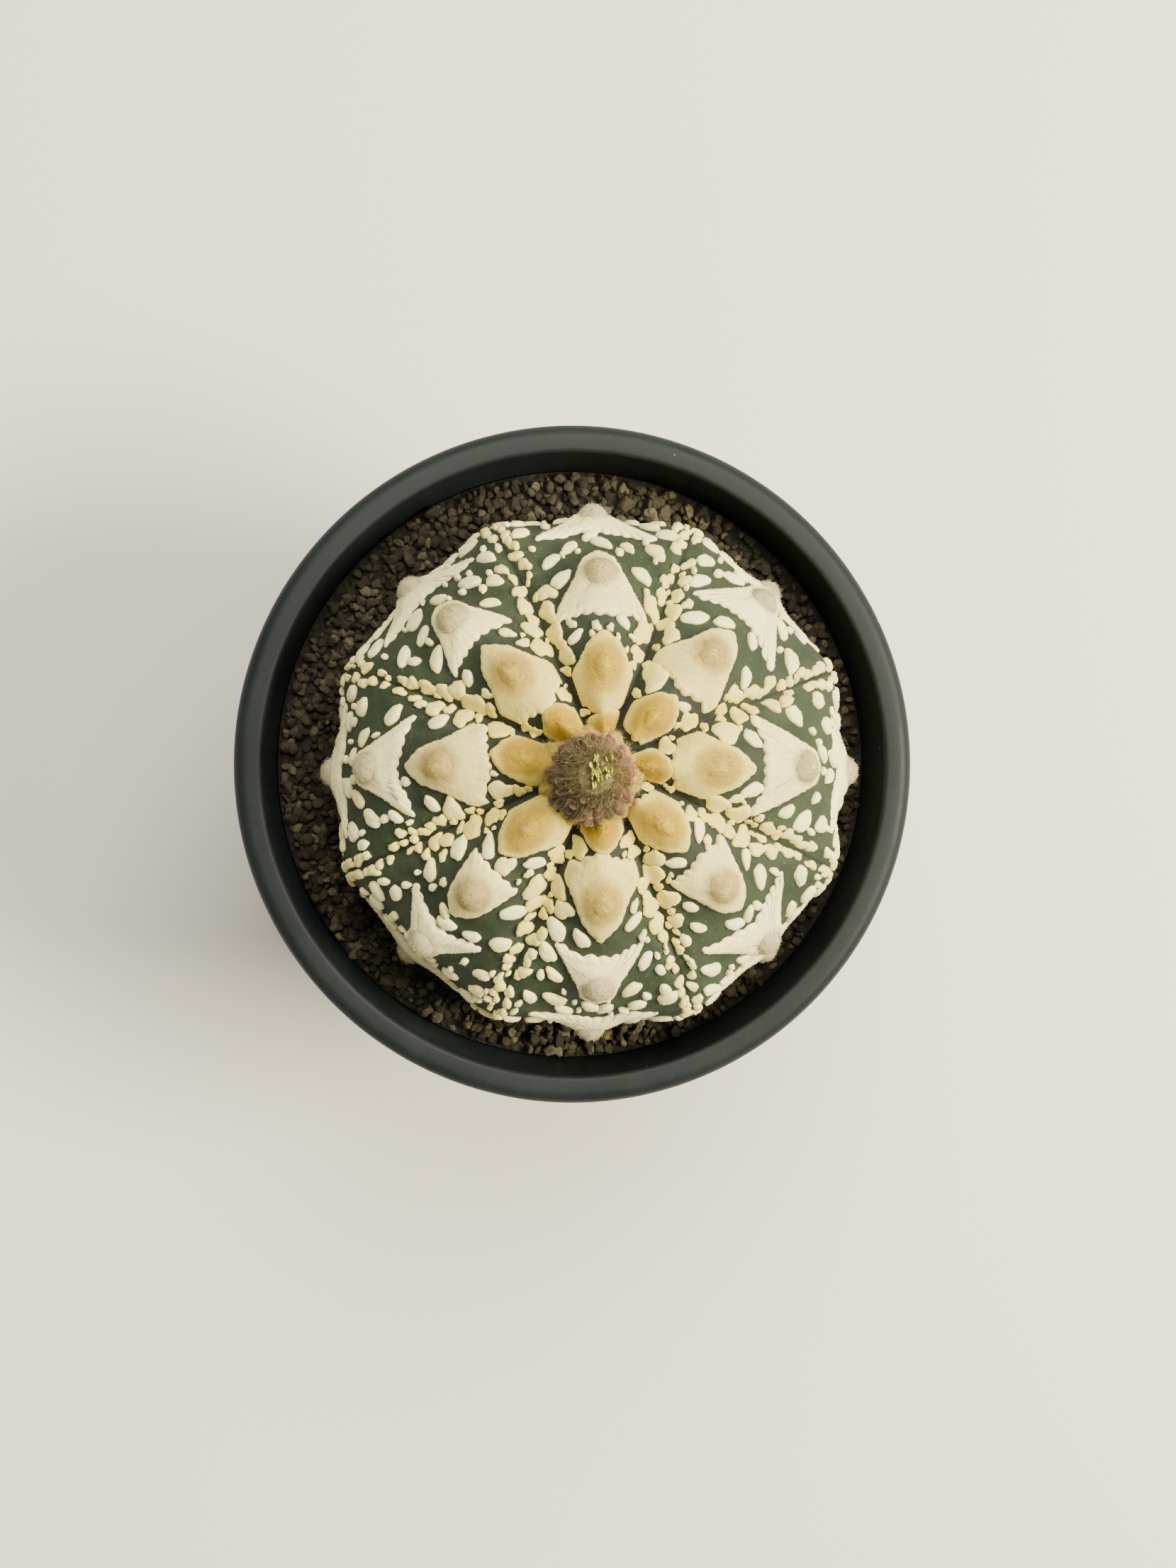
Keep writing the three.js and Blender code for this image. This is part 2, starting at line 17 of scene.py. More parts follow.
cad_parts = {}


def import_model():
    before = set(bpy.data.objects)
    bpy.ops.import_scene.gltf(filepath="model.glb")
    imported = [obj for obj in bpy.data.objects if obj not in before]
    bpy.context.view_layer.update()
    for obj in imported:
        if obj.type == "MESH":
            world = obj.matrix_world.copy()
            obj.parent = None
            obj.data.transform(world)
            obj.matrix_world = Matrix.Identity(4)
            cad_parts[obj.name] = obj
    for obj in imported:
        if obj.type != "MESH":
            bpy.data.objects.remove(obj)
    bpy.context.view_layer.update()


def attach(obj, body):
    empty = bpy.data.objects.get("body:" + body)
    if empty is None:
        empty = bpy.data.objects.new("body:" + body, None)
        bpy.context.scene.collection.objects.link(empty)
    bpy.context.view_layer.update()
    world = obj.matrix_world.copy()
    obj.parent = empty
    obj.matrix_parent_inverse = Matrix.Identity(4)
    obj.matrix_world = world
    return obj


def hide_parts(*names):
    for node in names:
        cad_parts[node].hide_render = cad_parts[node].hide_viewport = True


LOG = logging.getLogger("star_cactus")
MM = 0.001
TURN = 2 * math.pi
# Hairs and petal tips end below this level, in millimetres, so that they stay in the model's box.
HIGHEST = 129.2
UP = np.array([0, 0, 1.0])

Array = np.ndarray
Number = np.ndarray | float
Source = np.random.Generator
Socket = bpy.types.NodeSocket
Pair = tuple[float, float]
Triple = tuple[float, float, float]
Colour = tuple[float, float, float]
Areole = tuple[float, float, float]


class Slot(Enum):
    """The record's material slots."""

    POT = "pot_plastic"
    GRIT = "grit"
    SKIN = "cactus_skin"
    FELT = "felt"
    WOOL = "areole_wool"
    SCALE = "bud_scale"
    PETAL = "petal"


def smooth(low: float, high: float, value: Number) -> Array:
    """Rise smoothly from 0 at `low` to 1 at `high`."""
    share = np.clip((np.asarray(value, float) - low) / (high - low), 0, 1)
    return share * share * (3 - 2 * share)


def mix(start: Number, end: Number, share: Number) -> Number:
    """Blend from `start` to `end`."""
    return start + (end - start) * share


def draw(n: int) -> float:
    """Give a repeatable number from 0 to 1 for each whole number."""
    spread = math.sin(n * 12.9898 + 4.1414) * 43758.5453
    return spread - math.floor(spread)


def round_turn(count: int) -> Array:
    """Give evenly spaced angles round a full turn."""
    return np.linspace(0, TURN, count, endpoint=False)


def wrapped(angle: Number) -> Number:
    """Bring an angle between minus half a turn and half a turn."""
    return np.mod(angle + math.pi, TURN) - math.pi


def unit(vectors: Array) -> Array:
    """Bring vectors to a length of one."""
    return vectors / np.maximum(np.linalg.norm(vectors, axis=-1, keepdims=True), 1e-9)


def joined(*parts: Number) -> Array:
    """Put coordinates, single or in arrays, together as points."""
    return np.stack(np.broadcast_arrays(*parts), axis=-1)


def circle(turn: Array, radius: Number, level: float, middle: Pair = (0.0, 0.0)) -> Array:
    """Give the points of a level circle."""
    return joined(middle[0] + radius * np.cos(turn), middle[1] + radius * np.sin(turn), level)


def waves(places: Array, size: float, seed: int) -> Array:
    """Smooth noise between about -1 and 1 at places in space, from a few crossed waves.

    Args:
        places: Points, with their coordinates on the last axis.
        size: About the distance from one hump to the next.
        seed: Picks the waves.

    Returns:
        One value for each point.
    """
    source = np.random.default_rng(seed)
    total = np.zeros(places.shape[:-1])
    for _ in range(6):
        direction = source.normal(size=places.shape[-1])
        direction *= (TURN / size) * source.uniform(0.6, 1.5) / np.linalg.norm(direction)
        total += np.sin(places @ direction + source.uniform(0, TURN))
    return total / 2.6


def away_from(edge: Array, places: Array) -> Array:
    """Distance from each place to a closed outline, negative outside it.

    Args:
        edge: The outline's corners, one row each.
        places: Points in the outline's plane, one row each.

    Returns:
        One distance for each place.
    """
    start, end = edge, np.roll(edge, -1, axis=0)
    along = end - start
    offset = places[:, None, :] - start[None]
    share = np.clip((offset * along).sum(-1) / (along**2).sum(-1), 0, 1)
    nearest = np.linalg.norm(offset - share[..., None] * along, axis=-1).min(axis=1)
    above = start[None, :, 1] > places[:, None, 1]
    crosses = above != (end[None, :, 1] > places[:, None, 1])
    rise = np.where(np.abs(along[:, 1]) < 1e-9, 1e-9, along[:, 1])
    reach = along[:, 0] * (places[:, None, 1] - start[:, 1]) / rise + start[:, 0]
    inside = (crosses & (places[:, None, 0] < reach)).sum(axis=1) % 2 == 1
    return np.where(inside, nearest, -nearest)


@dataclass(frozen=True)
class Coat:
    """A finish that is ready for a piece: its slot in the record and its material."""

    slot: Slot | None
    material: bpy.types.Material


def link_object(name: str, data: bpy.types.ID) -> bpy.types.Object:
    """Put a mesh, light or camera in the scene."""
    made = bpy.data.objects.new(name, data)
    bpy.context.scene.collection.objects.link(made)
    return made


def place_piece(mesh: bpy.types.Mesh, coat: Coat, node: str) -> None:
    """Put a mesh in the scene as a piece that replaces a node and rides on the root body."""
    made = link_object(mesh.name, mesh)
    mesh.materials.append(coat.material)
    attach(made, "root")
    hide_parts(node)
    LOG.info("%s: %d faces", mesh.name, len(mesh.polygons))


@dataclass(frozen=True)
class Fur:
    """Fine fibres: their least and greatest length, and how far they rise for each step along the skin.

    Their width is at the root, and they bend by a share of their length.
    """

    length: Pair
    rise: float
    width: float = 0.05
    droop: float = 0.35


@dataclass
class Shell:
    """A mesh gathered from closed parts, with named values at its points."""

    points: list[Array] = field(default_factory=list)
    quads: list[Array] = field(default_factory=list)
    triangles: list[Array] = field(default_factory=list)
    values: dict[str, list[Array]] = field(default_factory=dict)
    count: int = 0

    def add(self, points: Array, quads: Array, triangles: Array, **values: Number) -> None:
        """Add one part.

        Args:
            points: The part's points in millimetres.
            quads: Its four-sided faces, as rows of point numbers.
            triangles: Its three-sided faces, as rows of point numbers.
            values: One number, or one number a point, for each named value.
        """
        self.points.append(points)
        for faces, corners, kept in ((quads, 4, self.quads), (triangles, 3, self.triangles)):
            kept.append(np.asarray(faces, int).reshape(-1, corners) + self.count)
        for name, value in values.items():
            self.values.setdefault(name, []).append(np.broadcast_to(value, len(points)).astype(np.float32))
        self.count += len(points)

    def loft(self, start: Array, rings: Array, end: Array, **values: Number) -> None:
        """Add a closed skin through rings of points that run anticlockwise seen from its end.

        Args:
            start: The point before the first ring.
            rings: Points, as rings by points by coordinates.
            end: The point after the last ring.
            values: One number, or one number a ring point with one for each end, for each value.
        """
        levels, sides = rings.shape[:2]
        points = np.concatenate([[start], rings.reshape(-1, 3), [end]])
        here = np.arange(sides)
        there = (here + 1) % sides
        low = 1 + sides * np.arange(levels - 1)[:, None]
        quads = joined(low + here, low + there, low + there + sides, low + here + sides)
        last = len(points) - 1
        foot, top = joined(0, 1 + there, 1 + here), joined(last - sides + here, last - sides + there, last)
        self.add(points, quads, np.concatenate([foot, top]), **values)

    def add_fibres(
        self,
        roots: Array,
        directions: Array,
        lengths: Array,
        width: float,
        droop: float,
        source: Source,
        **values: Number,
    ) -> None:
        """Add fine flat fibres, each a bent ribbon that ends in a point.

        Args:
            roots: Where they start, one row each.
            directions: Where they point, one row each.
            lengths: How long each is.
            width: How wide they are at the root.
            droop: How far they bend, as a share of their length.
            source: Random numbers for the curl.
            values: One number, or one number a fibre, for each named value.
        """
        forward = unit(directions)
        side = unit(np.cross(forward, source.normal(size=forward.shape)))
        bend = np.cross(forward, side)
        long = lengths[:, None]
        half = side * width / 2
        middle = roots + (forward * 0.55 + bend * droop * 0.3) * long
        tip = roots + (forward + bend * droop) * long
        points = np.stack([roots - half, roots + half, middle - half * 0.8, middle + half * 0.8, tip], axis=1)
        base = 5 * np.arange(len(roots))[:, None]
        spread = {key: np.repeat(np.broadcast_to(value, len(roots)), 5) for key, value in values.items()}
        self.add(points.reshape(-1, 3), base + np.array([0, 1, 3, 2]), base + np.array([2, 3, 4]), **spread)

    def grow_fur(self, rings: Array, count: int, fur: Fur, source: Source, **values: Number) -> None:
        """Grow fibres from random places on a lofted skin that faces up and outwards.

        Args:
            rings: The skin's points, as rings by points by coordinates.
            count: How many fibres to grow.
            fur: What they look like.
            source: Random numbers.
            values: One number, or one number a ring point, for each named value.
        """
        levels, sides = rings.shape[:2]
        level, side = source.uniform(0, levels - 1, count), source.uniform(0, sides, count)
        low, left = np.floor(level).astype(int), np.floor(side).astype(int)
        up, across = (level - low)[:, None], (side - left)[:, None]
        right = (left + 1) % sides

        def between(grid: Array) -> Array:
            """Read a grid of numbers or points at the picked places."""
            lower = mix(grid[low, left], grid[low, right], across)
            return mix(lower, mix(grid[low + 1, left], grid[low + 1, right], across), up)

        start = rings[low, left]
        normal = unit(np.cross(rings[low + 1, left] - start, rings[low, right] - start))
        roots = between(rings)
        normal *= np.sign((normal * (roots - [0, 0, 80.0])).sum(axis=1, keepdims=True))
        grids = {key: joined(np.broadcast_to(value, (levels, sides))) for key, value in values.items()}
        given = {key: between(grid)[:, 0] for key, grid in grids.items()}
        lengths = source.uniform(*fur.length, count)
        lean = source.normal(size=normal.shape)
        lean = unit(lean - (lean * normal).sum(-1, keepdims=True) * normal)
        directions = lean + normal * fur.rise * source.uniform(0.3, 1.7, (count, 1))
        self.add_fibres(roots, directions, lengths, fur.width, fur.droop, source, **given)

    def mesh(self, name: str, faceted: bool = False) -> bpy.types.Mesh:
        """Make the gathered parts one mesh, in metres."""
        mesh = bpy.data.meshes.new(name)
        faces = np.concatenate(self.quads).tolist() + np.concatenate(self.triangles).tolist()
        mesh.from_pydata((np.concatenate(self.points) * MM).tolist(), [], faces)
        for key, parts in self.values.items():
            layer = mesh.attributes.new(key, "FLOAT", "POINT")
            layer.data.foreach_set("value", np.concatenate(parts))
        if not faceted:
            mesh.shade_smooth()
        return mesh

    def piece(self, name: str, coat: Coat, node: str, faceted: bool = False) -> None:
        """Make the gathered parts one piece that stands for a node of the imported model."""
        place_piece(self.mesh(name, faceted), coat, node)


@dataclass
class PotForm:
    """Sizes of the pot and of the grit in it."""

    height: float = 88.0
    rim_radius: float = 55.0
    rim_width: float = 4.6
    rim_lip: float = 2.2
    rim_edge: float = 0.8
    collar_height: float = 12.0
    collar_thickness: float = 1.7
    collar_taper: float = 0.6
    wall: float = 1.6
    base_radius: float = 40.0
    floor_lift: float = 3.0
    floor_top: float = 5.0
    foot_width: float = 3.0
    drain_radius: float = 4.5
    drain_circle: float = 22.0
    drain_count: int = 6
    soil_level: float = 77.0
    clearance: float = 0.35

    @property
    def mouth_radius(self) -> float:
        """Radius of the opening."""
        return self.rim_radius - self.rim_width

    def wall_at(self, z: Number) -> Number:
        """Outer radius of the tapering wall at a height."""
        return self.base_radius + (self.mouth_radius + self.wall - self.base_radius) * z / self.height


@dataclass
class BodyForm:
    """The cactus body: a low dome with eight ribs, measured along its skin from the crown.

    A place is an angle about the middle and a distance along the skin. Each areole is its distance,
    how far the inner arms of its felt patch reach, and how many degrees it stands off the rib's
    crest; ribs run anticlockwise from +X. Each stage of a patch is a distance from the crown with
    half of the outline there, as steps sideways and outwards from the areole.
    """

    ribs: int = 8
    radius: float = 39.1
    crown_height: float = 27.0
    keel_depth: float = 24.3
    soil_level: float = 77.0
    girth_level: float = 91.0
    roundness: float = 2.2
    dimple_depth: float = 3.2
    dimple_radius: float = 7.0
    centre: Pair = (2.1, -1.3)
    lean: Pair = (0.5, 1.4)
    rib_swell: float = 0.9
    rib_corner: float = 3.3
    furrow_top: float = 1.4
    furrow_side: float = 0.6
    furrow_width: float = 1.4
    felt_reach: float = 0.84
    tubercle_height: float = 1.7
    tubercle_radius: float = 4.6
    stem_flare: float = 4.0
    stem_length: float = 5.0
    taproot_radius: float = 7.0
    taproot_tip: float = 38.0
    areoles: tuple = (
        ((7.5, 1.05, -5), (17.2, 1.12, -1.5), (32, 1.15, 0), (49.5, 1, 0), (62.5, 1, 0)),
        ((10.6, 1, -2.5), (23.2, 1.1, 0), (39, 1.05, 0), (55, 1, 0)),
        ((5.6, 1, -7), (14.6, 1.25, -1), (29.5, 1.1, 0), (46.5, 1, 0), (60.5, 1, 0)),
        ((8.6, 1, 0), (18.8, 1.08, 0), (32.2, 0.9, 0), (48, 1, 0), (61, 1, 0)),
        ((12, 1, -5.5), (24, 1.12, 0), (37.2, 1, 0), (53, 1, 0)),
        ((14.6, 1.1, -4.5), (27.2, 0.75, 0), (41.5, 0.85, 0), (57, 1, 0)),
        ((9.6, 1, 0), (20.4, 1.05, 0), (35, 0.92, 0), (51.5, 1, 0), (63, 1, 0)),
        ((12.8, 1.05, 0), (25.8, 0.9, 0), (41.5, 1, 0), (57, 1, 0)),
    )
    patch_stages: tuple = (
        (8, ((0, 3.4), (1.6, 2.6), (2.8, 0.6), (2.9, -1.2), (2.5, -2.8), (1.4, -3.4), (0, -3.6))),
        (13, ((0, 5.4), (2.3, 3.6), (3.8, 0.6), (4.5, -1.8), (4.4, -3.6), (2.6, -4.2), (0, -4.8))),
        (19, ((0, 7), (2.7, 3.9), (4, 0.2), (5.6, -3), (6, -5), (3.3, -5.2), (0, -6.8))),
        (26, ((0, 6.2), (2.4, 4), (3.6, 0.2), (5.3, -3.6), (6, -5.8), (3.3, -5.4), (0, -6.4))),
        (33, ((0, 5), (2.3, 3.2), (3.3, -0.2), (5.6, -4.7), (6.8, -7.2), (3.3, -5.7), (0, -5.5))),
        (41, ((0, 4.3), (2.4, 2.6), (3.3, -0.7), (6.7, -6), (8.1, -8.3), (3.4, -5.9), (0, -4.9))),
        (58, ((0, 3.6), (2.4, 2.3), (3.4, -0.8), (8, -4.9), (9.8, -6.8), (4, -5), (0, -3.8))),
    )

    def __post_init__(self) -> None:
        """Measure the plain outline along the skin."""
        turn = np.clip(np.linspace(0, math.pi, 4001), 1e-6, math.pi - 1e-6)
        power = 2 / self.roundness
        r = self.radius * np.sin(turn) ** power
        along = np.sign(np.cos(turn)) * np.abs(np.cos(turn)) ** power
        dimple = self.dimple_depth * np.exp(-((r / self.dimple_radius) ** 2))
        reach = np.where(along > 0, self.crown_height, self.keel_depth)
        z = self.girth_level + along * reach - np.where(along > 0, dimple, 0)
        self.way = np.concatenate([[0], np.cumsum(np.hypot(np.diff(r), np.diff(z)))])
        slope_r, slope_z = np.gradient(r, self.way), np.gradient(z, self.way)
        size = np.hypot(slope_r, slope_z)
        self.outline = np.stack([r, z, -slope_z / size, slope_r / size])
        self.soil_line = float(self.way[np.argmax(z < self.soil_level)])

    @property
    def pitch(self) -> float:
        """Angle from one rib to the next."""
        return TURN / self.ribs

    def meridian(self, distance: Number) -> Array:
        """Radius, height and the two parts of the normal of the plain outline."""
        return np.stack([np.interp(distance, self.way, line) for line in self.outline])

    def radius_at(self, distance: float) -> float:
        """Radius of the plain outline at one distance."""
        return float(self.meridian(distance)[0])

    def from_furrow(self, angle: Array, distance: Array) -> Array:
        """How far places are from the nearest furrow, along the skin."""
        from_crest = angle - self.pitch * np.round(angle / self.pitch)
        return self.meridian(distance)[0] * (self.pitch / 2 - np.abs(from_crest))

    def relief(self, angle: Array, distance: Array) -> Array:
        """How far the ribs, furrows and tubercles stand out of the plain outline."""
        r = self.meridian(distance)[0]
        rib = np.round(angle / self.pitch)
        from_crest = angle - self.pitch * rib
        ridge = self.rib_swell * np.cos(self.ribs * angle) * smooth(0, 9, distance)
        corner = self.rib_corner * (2 * from_crest / self.pitch) ** 2
        swell = mix(ridge, corner, smooth(22, 46, distance))
        depth = mix(self.furrow_top, self.furrow_side, smooth(30, 52, distance)) * smooth(3, 10, distance)
        furrow = depth * np.exp(-((self.from_furrow(angle, distance) / self.furrow_width) ** 2))
        tubercle = np.zeros_like(swell)
        for index, row in enumerate(self.areoles):
            here = np.mod(rib, self.ribs) == index
            for at, _, aside in row:
                across = r * (from_crest - math.radians(aside))
                away = np.hypot(across, distance - at) / self.tubercle_radius
                tubercle += here * self.tubercle_height * smooth(-6, 24, at) * np.exp(-(away**2))
        shown = 1 - smooth(self.soil_line - 6, self.soil_line - 1.5, distance)
        return shown * (swell - furrow + tubercle)

    def point(self, angle: Number, distance: Number, lift: Number = 0.0) -> Array:
        """Give points on the skin, lifted off it along its normal."""
        angle, distance = np.broadcast_arrays(np.asarray(angle, float), np.asarray(distance, float))
        r, z, out_r, out_z = self.meridian(distance)
        out = self.relief(angle, distance) + lift
        share = np.maximum(0, z - self.girth_level) / self.crown_height
        far = r + out_r * out
        x = self.centre[0] + self.lean[0] * share + far * np.cos(angle)
        y = self.centre[1] + self.lean[1] * share + far * np.sin(angle)
        return joined(x, y, z + out_z * out)

    def near(self, rib: int, areole: Areole, side: Array, out: Array) -> tuple[Array, Array]:
        """Find the place some way sideways and outwards from an areole, held back from furrows."""
        at, _, aside = areole
        stretch = at / self.radius_at(at)
        limit = self.felt_reach * self.pitch / 2
        turn = math.radians(aside) + np.arctan2(side * stretch, at + out)
        share = np.abs(turn) / limit
        held = np.where(share < 0.9, share, 0.9 + 0.1 * np.tanh((share - 0.9) / 0.1))
        return rib * self.pitch + np.sign(turn) * held * limit, np.hypot(side * stretch, at + out)

    def steps_from(self, areole: Areole, turn: Array, distance: Array) -> Array:
        """Turn places, with their angles from the rib's crest, into steps from one of its areoles."""
        at, _, aside = areole
        turn = turn - math.radians(aside)
        return joined(distance * np.sin(turn) / (at / self.radius_at(at)), distance * np.cos(turn) - at)

    def patch_corners(self, areole: Areole) -> Array:
        """Outline of an areole's felt patch, as steps sideways and outwards from the areole."""
        distance, arms, _ = areole
        stages = self.patch_stages
        later = next((i for i, (at, _) in enumerate(stages) if at > distance), len(stages) - 1)
        (young_at, young), (old_at, old) = stages[max(1, later) - 1], stages[max(1, later)]
        share = min(1, max(0, (distance - young_at) / (old_at - young_at)))
        half = mix(np.array(young, float), np.array(old, float), share)
        half[half[:, 1] < 0] *= arms
        return np.concatenate([half, (half[1:-1] * [-1, 1])[::-1]])

    def angle_of(self, rib: int, areole: Areole) -> float:
        """Angle at which an areole stands."""
        return rib * self.pitch + math.radians(areole[2])

    def every_areole(self) -> list[tuple[int, Areole]]:
        """List each areole with its rib."""
        return [(rib, areole) for rib, row in enumerate(self.areoles) for areole in row]

    def root(self, below: float, step: float) -> list[Pair]:
        """Radius and level of the keel, the stem and the root, from some way below the soil's line."""
        deeper = np.arange(self.soil_line + below, self.way[-1], step)
        keel = [(r, z) for r, z in self.meridian(deeper)[:2].T if r > self.taproot_radius + self.stem_flare]
        stem = (self.taproot_radius, keel[-1][1] - self.stem_length)
        return [*keel, stem, (self.taproot_radius / 4, self.taproot_tip)]


@dataclass
class CactusSkin:
    """The green skin with its ribs and furrows, and the stem and root below the soil."""

    form: BodyForm
    columns: int = 48
    row_step: float = 0.5
    hidden_step: float = 3.0
    wrinkle: float = 0.06
    wrinkle_size: float = 3.2
    halo_width: float = 1.5
    halo_search: float = 14.0
    # Width of the painted shade line down each furrow.
    furrow_shade_width: float = 0.3
    cork_height: float = 7.0

    def angles(self) -> Array:
        """Angles of the skin's columns, closer together by the furrows."""
        even = np.linspace(-1, 1, self.columns, endpoint=False)
        crowded = 0.5 * even + 0.5 * (1.5 * even - 0.5 * even**3)
        return (np.arange(self.form.ribs)[:, None] + crowded / 2).ravel() * self.form.pitch

    def halo(self, angle: Array, distance: Array) -> Array:
        """How near each place is to a felt patch, from 0 to 1."""
        form = self.form
        shade = np.zeros(angle.shape)
        rib_of = np.mod(np.round(angle / form.pitch), form.ribs)
        for rib, areole in form.every_areole():
            near = (rib_of == rib) & (np.abs(distance - areole[0]) < self.halo_search)
            steps = form.steps_from(areole, wrapped(angle[near] - rib * form.pitch), distance[near])
            outside = -away_from(form.patch_corners(areole), steps)
            shade[near] = np.maximum(shade[near], 1 - smooth(0, self.halo_width, outside))
        return shade

    def build(self, coat: Coat) -> None:
        """Make the skin as one closed mesh."""
        form = self.form
        columns = self.angles()
        turn, way = np.meshgrid(columns, np.arange(self.row_step, form.soil_line, self.row_step))
        wrinkle = self.wrinkle * waves(form.point(turn, way), self.wrinkle_size, 11) * smooth(2, 6, way)
        shown = form.point(turn, way, wrinkle)
        # The furrow value marks a thin line down each furrow that the material darkens as painted shade in
        # the crease.
        line = np.exp(-((form.from_furrow(turn, way) / self.furrow_shade_width) ** 2)) * smooth(3, 7, way)
        looks = {
            "furrow": (line, 0),
            "halo": (self.halo(turn, way), 0),
            "cork": (1 - smooth(0, self.cork_height, shown[..., 2] - form.soil_level), 1),
            # The crown value marks darker, greyer skin over the crown: partly the young skin's own tone,
            # partly painted shade between the crowded young patches.
            "crown": (1 - smooth(12, 34, way), 0),
        }
        below_soil = form.root(self.hidden_step, self.hidden_step)
        hidden = [circle(columns, radius, level, form.centre) for radius, level in below_soil]
        rings = np.concatenate([shown, hidden])[::-1]
        values = {}
        for name, (look, below) in looks.items():
            foot = np.full(1 + len(hidden) * len(columns), float(below))
            values[name] = np.concatenate([foot, look[::-1].ravel(), look[:1].mean(axis=1)])
        shell = Shell()
        shell.loft(np.array([*form.centre, form.taproot_tip]), rings, form.point(0.0, 0.0), **values)
        shell.piece("cactus_skin", coat, "cactus_body")


def age_at(distance: float) -> float:
    """How weathered an areole is at a distance from the crown, from 0 to 1."""
    return float(smooth(8, 44, distance))


def wool_radius(distance: float) -> float:
    """Radius of an areole's tuft of wool."""
    return min(float(mix(2.9, 2.3, smooth(20, 40, distance))), 1.6 + distance * 0.09)


def wool_stretch(distance: float) -> float:
    """How much longer than wide a tuft is, outwards from the crown."""
    return float(mix(1.28, 1.0, smooth(10, 30, distance)))


@dataclass
class FeltPatches:
    """The pads of felt round the areoles, with lobed inner edges.

    The tan stain fades between two shares of the wool's radius, and `fibres` is for each square
    millimetre of the box round a pad.
    """

    form: BodyForm
    sides: int = 140
    pad_height: float = 0.62
    pad_edge: float = 0.55
    crowning: float = 0.3
    root: float = 0.6
    lobe_length: float = 1.7
    inner_lobe: float = 0.44
    outer_lobe: float = 0.14
    rounding: float = 0.4
    growth: float = 0.24
    # Reach of the painted highlight that lightens each pad towards its rim.
    rim_width: float = 0.6
    stain: Pair = (0.75, 1.4)
    fibres: float = 6.6
    fur: Fur = Fur((0.2, 0.45), 0.2)
    shares: tuple = (1, 1, 0.985, 0.96, 0.925, 0.88, 0.82, 0.74, 0.64, 0.5, 0.34, 0.16)

    def outline(self, areole: Areole, source: Source) -> Array:
        """Round off a patch's outline and give its edge lobes.

        Args:
            areole: The areole's distance, arm reach and turn off the crest.
            source: Random numbers for the lobes.

        Returns:
            Evenly spaced steps sideways and outwards from the areole.
        """
        corners = self.form.patch_corners(areole)
        closed = np.concatenate([corners, corners[:1]])
        way = np.concatenate([[0], np.cumsum(np.linalg.norm(np.diff(closed, axis=0), axis=1))])
        length = way[-1]
        even = np.linspace(0, length, self.sides, endpoint=False)
        line = joined(*(np.interp(even, way, axis) for axis in closed.T))
        reach = np.exp(-0.5 * (np.arange(-12, 13) * (length / self.sides) / self.rounding) ** 2)
        reach /= reach.sum()
        line = sum(weight * np.roll(line, k - 12, axis=0) for k, weight in enumerate(reach))
        tangent = np.roll(line, -1, axis=0) - np.roll(line, 1, axis=0)
        normal = unit(joined(-tangent[:, 1], tangent[:, 0]))
        normal *= np.sign((normal * line).sum())
        lobes = math.pi * round(length / self.lobe_length)
        round_edge = TURN * even / length
        phase = source.uniform(0, math.pi)
        drift = 0.9 * np.sin(round_edge * 3 + source.uniform(0, 6))
        bulge = np.abs(np.sin(lobes * even / length + phase + drift)) - 0.75
        bulge += 0.35 * np.sin(round_edge * 7 + source.uniform(0, 6))
        inner = smooth(0.6, -1.6, line[:, 1]) * smooth(-0.1, 0.55, -normal[:, 1])
        size = mix(self.outer_lobe, self.inner_lobe, inner) * min(1, 0.75 + areole[0] / 50)
        return line + normal * (self.growth + size * bulge)[:, None]

    def evened(self, lift: Array) -> Array:
        """Soften the ridge along the middle of each arm by blurring the inner rings."""
        rings = lift[:-1].reshape(len(self.shares), self.sides)
        for level in range(3, len(rings)):
            for _ in range(7 * (level - 2)):
                rings[level] = (rings[level] + np.roll(rings[level], 1) + np.roll(rings[level], -1)) / 3
        return np.concatenate([rings.ravel(), [rings[-1].mean()]])

    def build(self, coat: Coat) -> None:
        """Make all the patches as one piece, and the fibres on them as another."""
        shell, fibres = Shell(), Shell()
        source = np.random.default_rng(8)
        for rib, areole in self.form.every_areole():
            at = areole[0]
            age = age_at(at)
            edge = self.outline(areole, source)[::-1]
            shares = np.array(self.shares)[:, None, None]
            steps = np.concatenate([(edge * shares).reshape(-1, 2), [[0, 0]]])
            depth = np.maximum(0, away_from(edge, steps * 0.9999))
            near = 1 - np.minimum(depth / self.pad_edge, 1)
            lift = self.pad_height * (1.35 - 0.35 * age) * np.sqrt(1 - near**2)
            lift += self.crowning * (1 - np.exp(-depth / 1.6))
            angle, distance = self.form.near(rib, areole, *steps.T)
            plain = self.form.point(angle, distance)
            lift += (0.1 * waves(plain, 1.3, 3) + 0.16 * waves(plain, 3.0, 4)) * (1 - near)
            lift = self.evened(lift)
            lift[: self.sides] = -self.root
            lift[self.sides : 2 * self.sides] = -0.05
            points = self.form.point(angle, distance, lift)
            rings = points[:-1].reshape(len(self.shares), self.sides, 3)
            foot = self.form.point(self.form.angle_of(rib, areole), at, -self.root)
            reach = np.hypot(steps[:, 0], steps[:, 1] / wool_stretch(at)) / wool_radius(at)
            # The edge value is a painted highlight: felt lighter towards the pad's rim than in its middle.
            stain, edge_highlight = 1 - smooth(*self.stain, reach), np.exp(-depth / self.rim_width)
            values = {"stain": np.concatenate([[0], stain]), "edge": np.concatenate([[1], edge_highlight])}
            shell.loft(foot, rings, points[-1], age=age, **values)
            grids = {name: value[1:-1].reshape(rings.shape[:2])[2:] for name, value in values.items()}
            count = int(float(np.ptp(edge[:, 0]) * np.ptp(edge[:, 1])) * self.fibres)
            fibres.grow_fur(rings[2:], count, self.fur, source, age=age, **grids)
        shell.piece("felt_patches", coat, "cactus_body")
        fibres.piece("felt_fibres", coat, "cactus_body")


